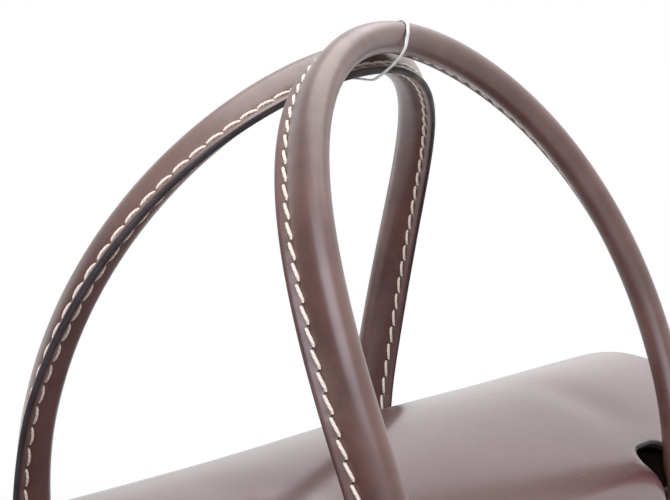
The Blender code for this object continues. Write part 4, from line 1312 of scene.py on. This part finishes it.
def teardrop():
    # from the flange's tip round the tube's back and home again: out, across and the order of the
    # first steps, where paint may be
    shape = handleShape
    radius, half, crease = shape["tubeRadius"], shape["flangeThickness"] / 2, shape["creaseAt"]
    tip, bead = radius + shape["flangeWidth"], shape["beadRadius"]
    meet, rise = radians(shape["puffMeets"]), radians(shape["puffRise"])
    touch = (radius * cos(meet), radius * sin(meet))
    reach = touch[0] - crease + (touch[1] - half) * tan(meet)
    reach /= -cos(rise) + sin(rise) * tan(meet)
    bulge = (crease - cos(rise) * reach, half + sin(rise) * reach)
    side = []
    for step in range(shape["beadSteps"]):
        angle = pi / 2 * step / shape["beadSteps"]
        side.append((tip - bead + bead * cos(angle), half * sin(angle), step + 1))
    for step in range(shape["flatSteps"]):
        order = 0 if step else shape["beadSteps"] + 1
        side.append((mix(tip - bead, crease, step / shape["flatSteps"]), half, order))
    for step in range(shape["puffSteps"]):
        t = step / shape["puffSteps"]
        side.append(((1 - t) ** 2 * crease + 2 * t * (1 - t) * bulge[0] + t * t * touch[0],
                     (1 - t) ** 2 * half + 2 * t * (1 - t) * bulge[1] + t * t * touch[1], 0))
    for step in range(shape["backSteps"] + 1):
        angle = mix(meet, pi, step / shape["backSteps"])
        side.append((radius * cos(angle), radius * sin(angle), 0))
    return np.array(side + [(out, -across, order) for out, across, order in side[-2:0:-1]])


def flattened(offsets, axes, height, radius, flat):
    # a section pressed flat above the fold and squared off in the tab
    shape = handleShape
    inward, depthAxis = axes
    tab = float(smooth((shape["tabFrom"] - height) / shape["tabRun"]))
    power = mix(1.0, shape["tabSquareness"], tab)
    halfWide = mix(shape["endHalfWidth"], shape["tabHalfWidth"], tab)
    halfDeep = mix(shape["endHalfThickness"], shape["tabThickness"] / 2, tab)
    halfWide, halfDeep = mix(radius, halfWide, flat), mix(radius, halfDeep, flat)
    past = max(0.0, (-height - shape["tabLength"] + shape["tabHalfWidth"]) / shape["tabHalfWidth"])
    halfWide *= sqrt(max(1 - past * past, shape["tabTip"]))
    unit = offsets / radius
    wide, deep = unit @ inward, unit @ depthAxis
    wide = np.sign(wide) * np.abs(wide) ** power * halfWide
    deep = np.sign(deep) * np.abs(deep) ** power * halfDeep
    return inward * wide[:, None] + depthAxis * deep[:, None]


def handleRings(stations, section):
    shape = handleShape
    runs = runAlong(section[:, :2])
    angles = 2 * pi * runs / (runs[-1] + np.hypot(*(section[0, :2] - section[-1, :2])))
    circle = np.stack([np.cos(angles), np.sin(angles)], axis=1)
    nearSeam = np.exp(-((section[:, 0] - shape["seamOffset"]) / shape["puckerWidth"]) ** 2)
    flangeRun = shape["flangeFull"] - shape["flangeStart"]
    rings = []
    for index, height in enumerate(stations["height"]):
        grow = smooth((height - shape["flangeStart"]) / flangeRun)
        flat = 1 - float(smooth(height / shape["flattenLength"]))
        swell = 1 + shape["swellShare"] * (1 - float(smooth(height / shape["swellLength"])))
        phase = stations["run"][index] / stations["pitch"]
        pull = cos(pi * phase) ** shape["puckerPower"] * shape["pucker"]
        points = section[:, :2].copy()
        points[:, 1] -= np.sign(points[:, 1]) * nearSeam * pull
        points = mix(circle * shape["tubeRadius"], points, float(grow)) * swell
        flange, cross, inward, depthAxis = (stations[key][index] for key in
                                            ("flange", "cross", "inward", "depthAxis"))
        offsets = flange * points[:, :1] + cross * points[:, 1:]
        if flat > 0:
            offsets = flattened(offsets, (inward, depthAxis), height,
                                shape["tubeRadius"] * swell, flat)
        rings.append(stations["centre"][index] + offsets)
    return np.array(rings), runs


def makeHandle(name, lean):
    shape = handleShape
    stations = handleStations(lean, lean["pitch"] / shape["stationsPerStitch"])
    section = teardrop()
    rings, around = handleRings(stations, section)
    verts, faces = tubeMesh(rings[:, ::-1])
    order = section[::-1, 2]
    inked = (order > 0) & (order <= shape["paintSteps"])
    inked = inked & np.roll(inked, -1)
    grown = stations["height"][:-1] > shape["flangeStart"] + shape["paintStart"]
    kinds = [int(painted) for ring in np.outer(grown, inked) for painted in ring] + [0, 0]
    marks = np.array([(run, place) for run in stations["run"] for place in around[::-1]])
    leather = newPiece(name + "_handle_leather", verts, faces, ["handleLeather", "edgePaint"],
                       kinds, marks)
    sign = lean["sign"]
    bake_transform(leather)
    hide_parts(name + "_handle_cover", name + "_left_tab", name + "_right_tab")
    sewHandle(name, stations)
    sewTabs(name, sign)


def sewHandle(name, stations):
    shape = handleShape
    keep = stations["height"] > shape["flangeFull"] - shape["seamStart"]
    centre, flange, cross = (stations[key][keep] for key in ("centre", "flange", "cross"))
    lift = shape["flangeThickness"] / 2 - shape["seamSink"]
    seams = [(centre + flange * shape["seamOffset"] + cross * way * lift, cross * way, way)
             for way in (-1, 1)]
    sewStitches(name + "_handle_stitches", name + "_handle", seams,
                dict(stitchLook, pitch=stations["pitch"]))


def sewTabs(name, sign):
    shape = handleShape
    half = shape["tabHalfWidth"] - shape["tabStitchInset"]
    tip = shape["tabHalfWidth"] - shape["tabLength"]
    path = [(-half, -shape["tabSeamTop"]), (-half, tip)]
    path += arc((0.0, tip), half, 180, 360, shape["tabArcSteps"])
    path = resample(path + [(half, -shape["tabSeamTop"])], shape["tabSeamSteps"])
    lift = bodyShape["restGap"] + shape["tabThickness"] - shape["seamSink"]
    seams = []
    for side in (-1, 1):
        points = [(side * shape["legOffset"] + across, sign * (faceDepth(foldLevel + up) + lift),
                   foldLevel + up) for across, up in path]
        seams.append((points, np.tile([0.0, sign, 0.0], (len(points), 1)), sign))
    sewStitches(name + "_tab_stitches", "bag", seams, tabStitch)


for handleName, lean in handleLeans.items():
    makeHandle(handleName, lean)
print("handles made")


# Thread tied round both crests

tieShape = {
    "radius": 0.00033, "gap": 0.0001, "place": -0.0030, "slant": 0.0044, "sides": 10, "steps": 200,
    "sag": 0.0016, "sagLean": 0.8, "sagPower": 1.5,
    "gapLow": 0.0007, "gapHigh": 0.0011,       # between the two strands
    "bearing": 0.008, "bearingHeight": 0.05,   # which part of the handles it can lie on
    "bearingSpacing": 0.0015, "bearingSides": 8, "bearingDigits": 7,
    "loopReach": 2, "slantReach": 12,          # points to each side in a running mean
}


def convexHull(points):
    # the outermost of some (y, z), in order round them
    points = sorted(set(points))

    def chain(sequence):
        line = []
        for point in sequence:
            while len(line) > 1:
                a, b = line[-2], line[-1]
                if (b[0] - a[0]) * (point[1] - a[1]) - (b[1] - a[1]) * (point[0] - a[0]) > 0:
                    break
                line.pop()
            line.append(point)
        return line[:-1]

    return chain(points) + chain(reversed(points))


def evened(values, reach):
    # a running mean round a closed loop
    shifts = range(-reach, reach + 1)
    return sum(np.roll(values, shift, axis=0) for shift in shifts) / len(shifts)


def tieLoop():
    # a loop laid tight round both crests, as (y, z)
    shape, section = tieShape, teardrop()
    reach, digits = shape["radius"] + shape["gap"], shape["bearingDigits"]
    angles = [2 * pi * step / shape["bearingSides"] for step in range(shape["bearingSides"])]
    spread = []
    for lean in handleLeans.values():
        stations = handleStations(lean, shape["bearingSpacing"])
        rings, _ = handleRings(stations, section)
        near = np.abs(rings.mean(axis=1)[:, 0] - shape["place"]) < shape["bearing"]
        for ring in rings[near & (stations["height"] > shape["bearingHeight"])]:
            spread += [(round(y + reach * cos(angle), digits),
                        round(z + reach * sin(angle), digits))
                       for _, y, z in ring for angle in angles]
    outline = convexHull(spread)
    loop = resample(outline + [outline[0]], shape["steps"] + 1)[:-1]
    return evened(loop, shape["loopReach"])


def tieSlants(loop):
    # which side of its place each point of the loop is on, and how far the slack lets it sag
    steps = len(loop)
    frontMost, lowest = int(loop[:, 0].argmin()), int(loop[:, 1].argmin())
    backMost, highest = int(loop[:, 0].argmax()), int(loop[:, 1].argmax())
    corners = [(frontMost, -1), (lowest, -1), (backMost, 0), (highest, 1)]
    slants, sags = np.zeros(steps), np.zeros(steps)
    for (start, low), (end, high) in zip(corners, corners[1:] + corners[:1]):
        count = (end - start) % steps
        for step in range(count):
            at, share = (start + step) % steps, step / count
            slants[at] = mix(low, high, share)
            if start == frontMost:
                sags[at] = sin(pi * share ** tieShape["sagLean"]) ** tieShape["sagPower"]
    return evened(slants, tieShape["slantReach"]), sags


def makeTie():
    verts, faces, marks = [], [], []
    shape, loop = tieShape, tieLoop()
    slants, sags = tieSlants(loop)
    steps, sides = len(loop), shape["sides"]
    for strand in (-1, 1):
        base, run = len(verts), 0.0
        for index, (y, z) in enumerate(loop):
            after, before = loop[(index + 1) % steps], loop[index - 1]
            way = (after - before) / np.linalg.norm(after - before)
            out = np.array([0.0, way[1], -way[0]])
            apart = mix(shape["gapLow"], shape["gapHigh"], (slants[index] + 1) / 2)
            place = shape["place"] + shape["slant"] * slants[index] + strand * apart / 2
            centre = np.array([place, y, z]) + out * shape["sag"] * sags[index]
            low, high = base + index * sides, base + ((index + 1) % steps) * sides
            for side in range(sides):
                angle = 2 * pi * side / sides
                offset = np.array([1.0, 0.0, 0.0]) * cos(angle) + out * sin(angle)
                verts.append(centre + offset * shape["radius"])
                marks.append((run, side / sides))
                other = (side + 1) % sides
                faces.append((low + side, low + other, high + other, high + side))
            run += float(np.linalg.norm(after - loop[index]))
    tie = newPiece("tie_thread", verts, faces, ["tieThread"], None, marks)
    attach(tie, "front_handle")
    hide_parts("handle_thread")


makeTie()
print("thread made")


# The CAD nodes that stay keep their shapes and get finer materials

nodeFinishes = {
    "base_board": "fibreBoard", "front_handle_core": "coreCord", "back_handle_core": "coreCord",
    "flap_magnet_left": "magnetSteel", "flap_magnet_right": "magnetSteel",
    "panel_magnet_left": "magnetSteel", "panel_magnet_right": "magnetSteel",
}
for nodeName, finishName in nodeFinishes.items():
    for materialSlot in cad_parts[nodeName].material_slots:
        materialSlot.material = finishes[finishName]
print("board, cords and magnets finished")


# Stage: a pale floor that fades to white, soft lamps and the photograph's camera

stageLook = {
    "floorSize": 9.0, "floorColour": (0.64, 0.64, 0.64), "floorRoughness": 0.9,
    "fadeFrom": 0.55, "fadeTo": 1.5, "seen": 1.0,
    "brightFrom": -0.45, "brightTo": 0.7,
    "brightSide": (0.55, -0.2, 0.81), "glossDark": 0.02, "glossBright": 1.15,
    "fillSide": (-0.45, 0.55, 0.70), "fillDark": 0.08, "fillBright": 0.78,
}


def makeFloor():
    look = stageLook
    half = look["floorSize"] / 2
    mesh = bpy.data.meshes.new("floor")
    mesh.from_pydata([(-half, -half, 0), (half, -half, 0), (half, half, 0), (-half, half, 0)], [],
                     [(0, 1, 2, 3)])
    floor = bpy.data.objects.new("floor", mesh)
    bpy.context.scene.collection.objects.link(floor)
    material = bpy.data.materials.new("paleFloor")
    material.use_nodes = True
    tree = material.node_tree
    shader = tree.nodes["Principled BSDF"]
    shader.inputs["Base Color"].default_value = (*look["floorColour"], 1)
    shader.inputs["Roughness"].default_value = look["floorRoughness"]
    white = tree.nodes.new("ShaderNodeEmission")
    white.inputs["Strength"].default_value = look["seen"]
    place = tree.nodes.new("ShaderNodeTexCoord")
    distance = addNode(tree, "VectorMath", {"operation": "LENGTH"}, i0=place.outputs["Object"])
    far = remap(tree, distance.outputs[1], look["fadeFrom"], look["fadeTo"])
    path = tree.nodes.new("ShaderNodeLightPath")
    seen = calculate(tree, "MAXIMUM", path.outputs["Is Camera Ray"], path.outputs["Is Glossy Ray"])
    share = calculate(tree, "MULTIPLY", far, seen)
    blend = tree.nodes.new("ShaderNodeMixShader")
    tree.links.new(share, blend.inputs[0])
    tree.links.new(shader.outputs[0], blend.inputs[1])
    tree.links.new(white.outputs[0], blend.inputs[2])
    tree.links.new(blend.outputs[0], tree.nodes["Material Output"].inputs["Surface"])
    mesh.materials.append(material)


def makeWorld():
    # white to the camera; what the leather mirrors is bright above the bag's right end, and the
    # fill light is brightest above the left end of its back
    world = bpy.data.worlds.new("studio")
    bpy.context.scene.world = world
    world.use_nodes = True
    tree, look = world.node_tree, stageLook
    background = tree.nodes["Background"]
    background.inputs["Color"].default_value = (1.0, 1.0, 1.0, 1)
    path = tree.nodes.new("ShaderNodeLightPath")
    place = tree.nodes.new("ShaderNodeTexCoord")

    def gradient(side, low, high):
        way = tuple(Vector(side).normalized())
        facing = addNode(tree, "VectorMath", {"operation": "DOT_PRODUCT"},
                         i0=place.outputs["Generated"], i1=way)
        bright = remap(tree, facing.outputs[1], look["brightFrom"], look["brightTo"])
        return calculate(tree, "MULTIPLY_ADD", bright, high - low, low)

    gloss = gradient(look["brightSide"], look["glossDark"], look["glossBright"])
    fill = gradient(look["fillSide"], look["fillDark"], look["fillBright"])
    seen = calculate(tree, "MAXIMUM", path.outputs["Is Camera Ray"],
                     path.outputs["Is Transmission Ray"])
    light = addNode(tree, "Mix", None, i0=path.outputs["Is Glossy Ray"], i2=fill, i3=gloss)
    shown = addNode(tree, "Mix", None, i0=seen, i2=light.outputs[0], i3=look["seen"])
    tree.links.new(shown.outputs[0], background.inputs["Strength"])


lampLook = {
    "key": {"place": (0.42, -0.13, 1.55), "size": (1.5, 1.5), "power": 17.0,
            "colour": (1.0, 1.0, 1.0)},
    "window": {"place": (-0.82, -0.54, 0.88), "size": (1.1, 0.9), "power": 12.0,
               "colour": (0.84, 0.89, 1.0)},
    "side": {"place": (0.1, 1.35, 0.45), "size": (0.9, 1.2), "power": 2.4,
             "colour": (1.0, 1.0, 1.0)},
}
lampAim = (0.0, 0.0, 0.3)


def makeLamps():
    for name, look in lampLook.items():
        lamp = bpy.data.lights.new(name, "AREA")
        lamp.color = look["colour"]
        lamp.shape = "RECTANGLE"
        lamp.size, lamp.size_y = look["size"]
        lamp.energy = look["power"]
        holder = bpy.data.objects.new(name, lamp)
        holder.location = look["place"]
        holder.rotation_mode = "QUATERNION"
        way = Vector(lampAim) - Vector(look["place"])
        holder.rotation_quaternion = way.to_track_quat("-Z", "Y")
        bpy.context.scene.collection.objects.link(holder)


cameraFit = {
    "place": (-0.4849, -0.3028, 0.3793), "yaw": 0.992, "pitch": -0.06, "roll": -0.031,
    "focalPixels": 1801.0, "centrePixel": (335.0, 239.0), "imageSize": (670, 500),
    "sensorWidth": 36.0, "nearest": 0.02, "farthest": 50.0,
}


def makeCamera():
    fit = cameraFit
    yaw, pitch, roll = fit["yaw"], fit["pitch"], fit["roll"]
    ahead = Vector((sin(yaw) * cos(pitch), cos(yaw) * cos(pitch), sin(pitch)))
    right = Vector((cos(yaw), -sin(yaw), 0))
    up = right.cross(ahead)
    rolledRight = right * cos(roll) + up * sin(roll)
    rolledUp = up * cos(roll) - right * sin(roll)
    camera = bpy.data.cameras.new("camera")
    wide, tall = fit["imageSize"]
    camera.sensor_width = fit["sensorWidth"]
    camera.lens = camera.sensor_width * fit["focalPixels"] / wide
    camera.shift_x = (wide / 2 - fit["centrePixel"][0]) / wide
    camera.shift_y = (fit["centrePixel"][1] - tall / 2) / wide
    camera.clip_start, camera.clip_end = fit["nearest"], fit["farthest"]
    holder = bpy.data.objects.new("camera", camera)
    turn = Matrix((rolledRight, rolledUp, -ahead)).transposed()
    holder.matrix_world = Matrix.Translation(fit["place"]) @ turn.to_4x4()
    bpy.context.scene.collection.objects.link(holder)
    bpy.context.scene.camera = holder


makeFloor()
makeWorld()
makeLamps()
makeCamera()
bpy.context.scene.view_settings.view_transform = "Standard"
print("stage made")
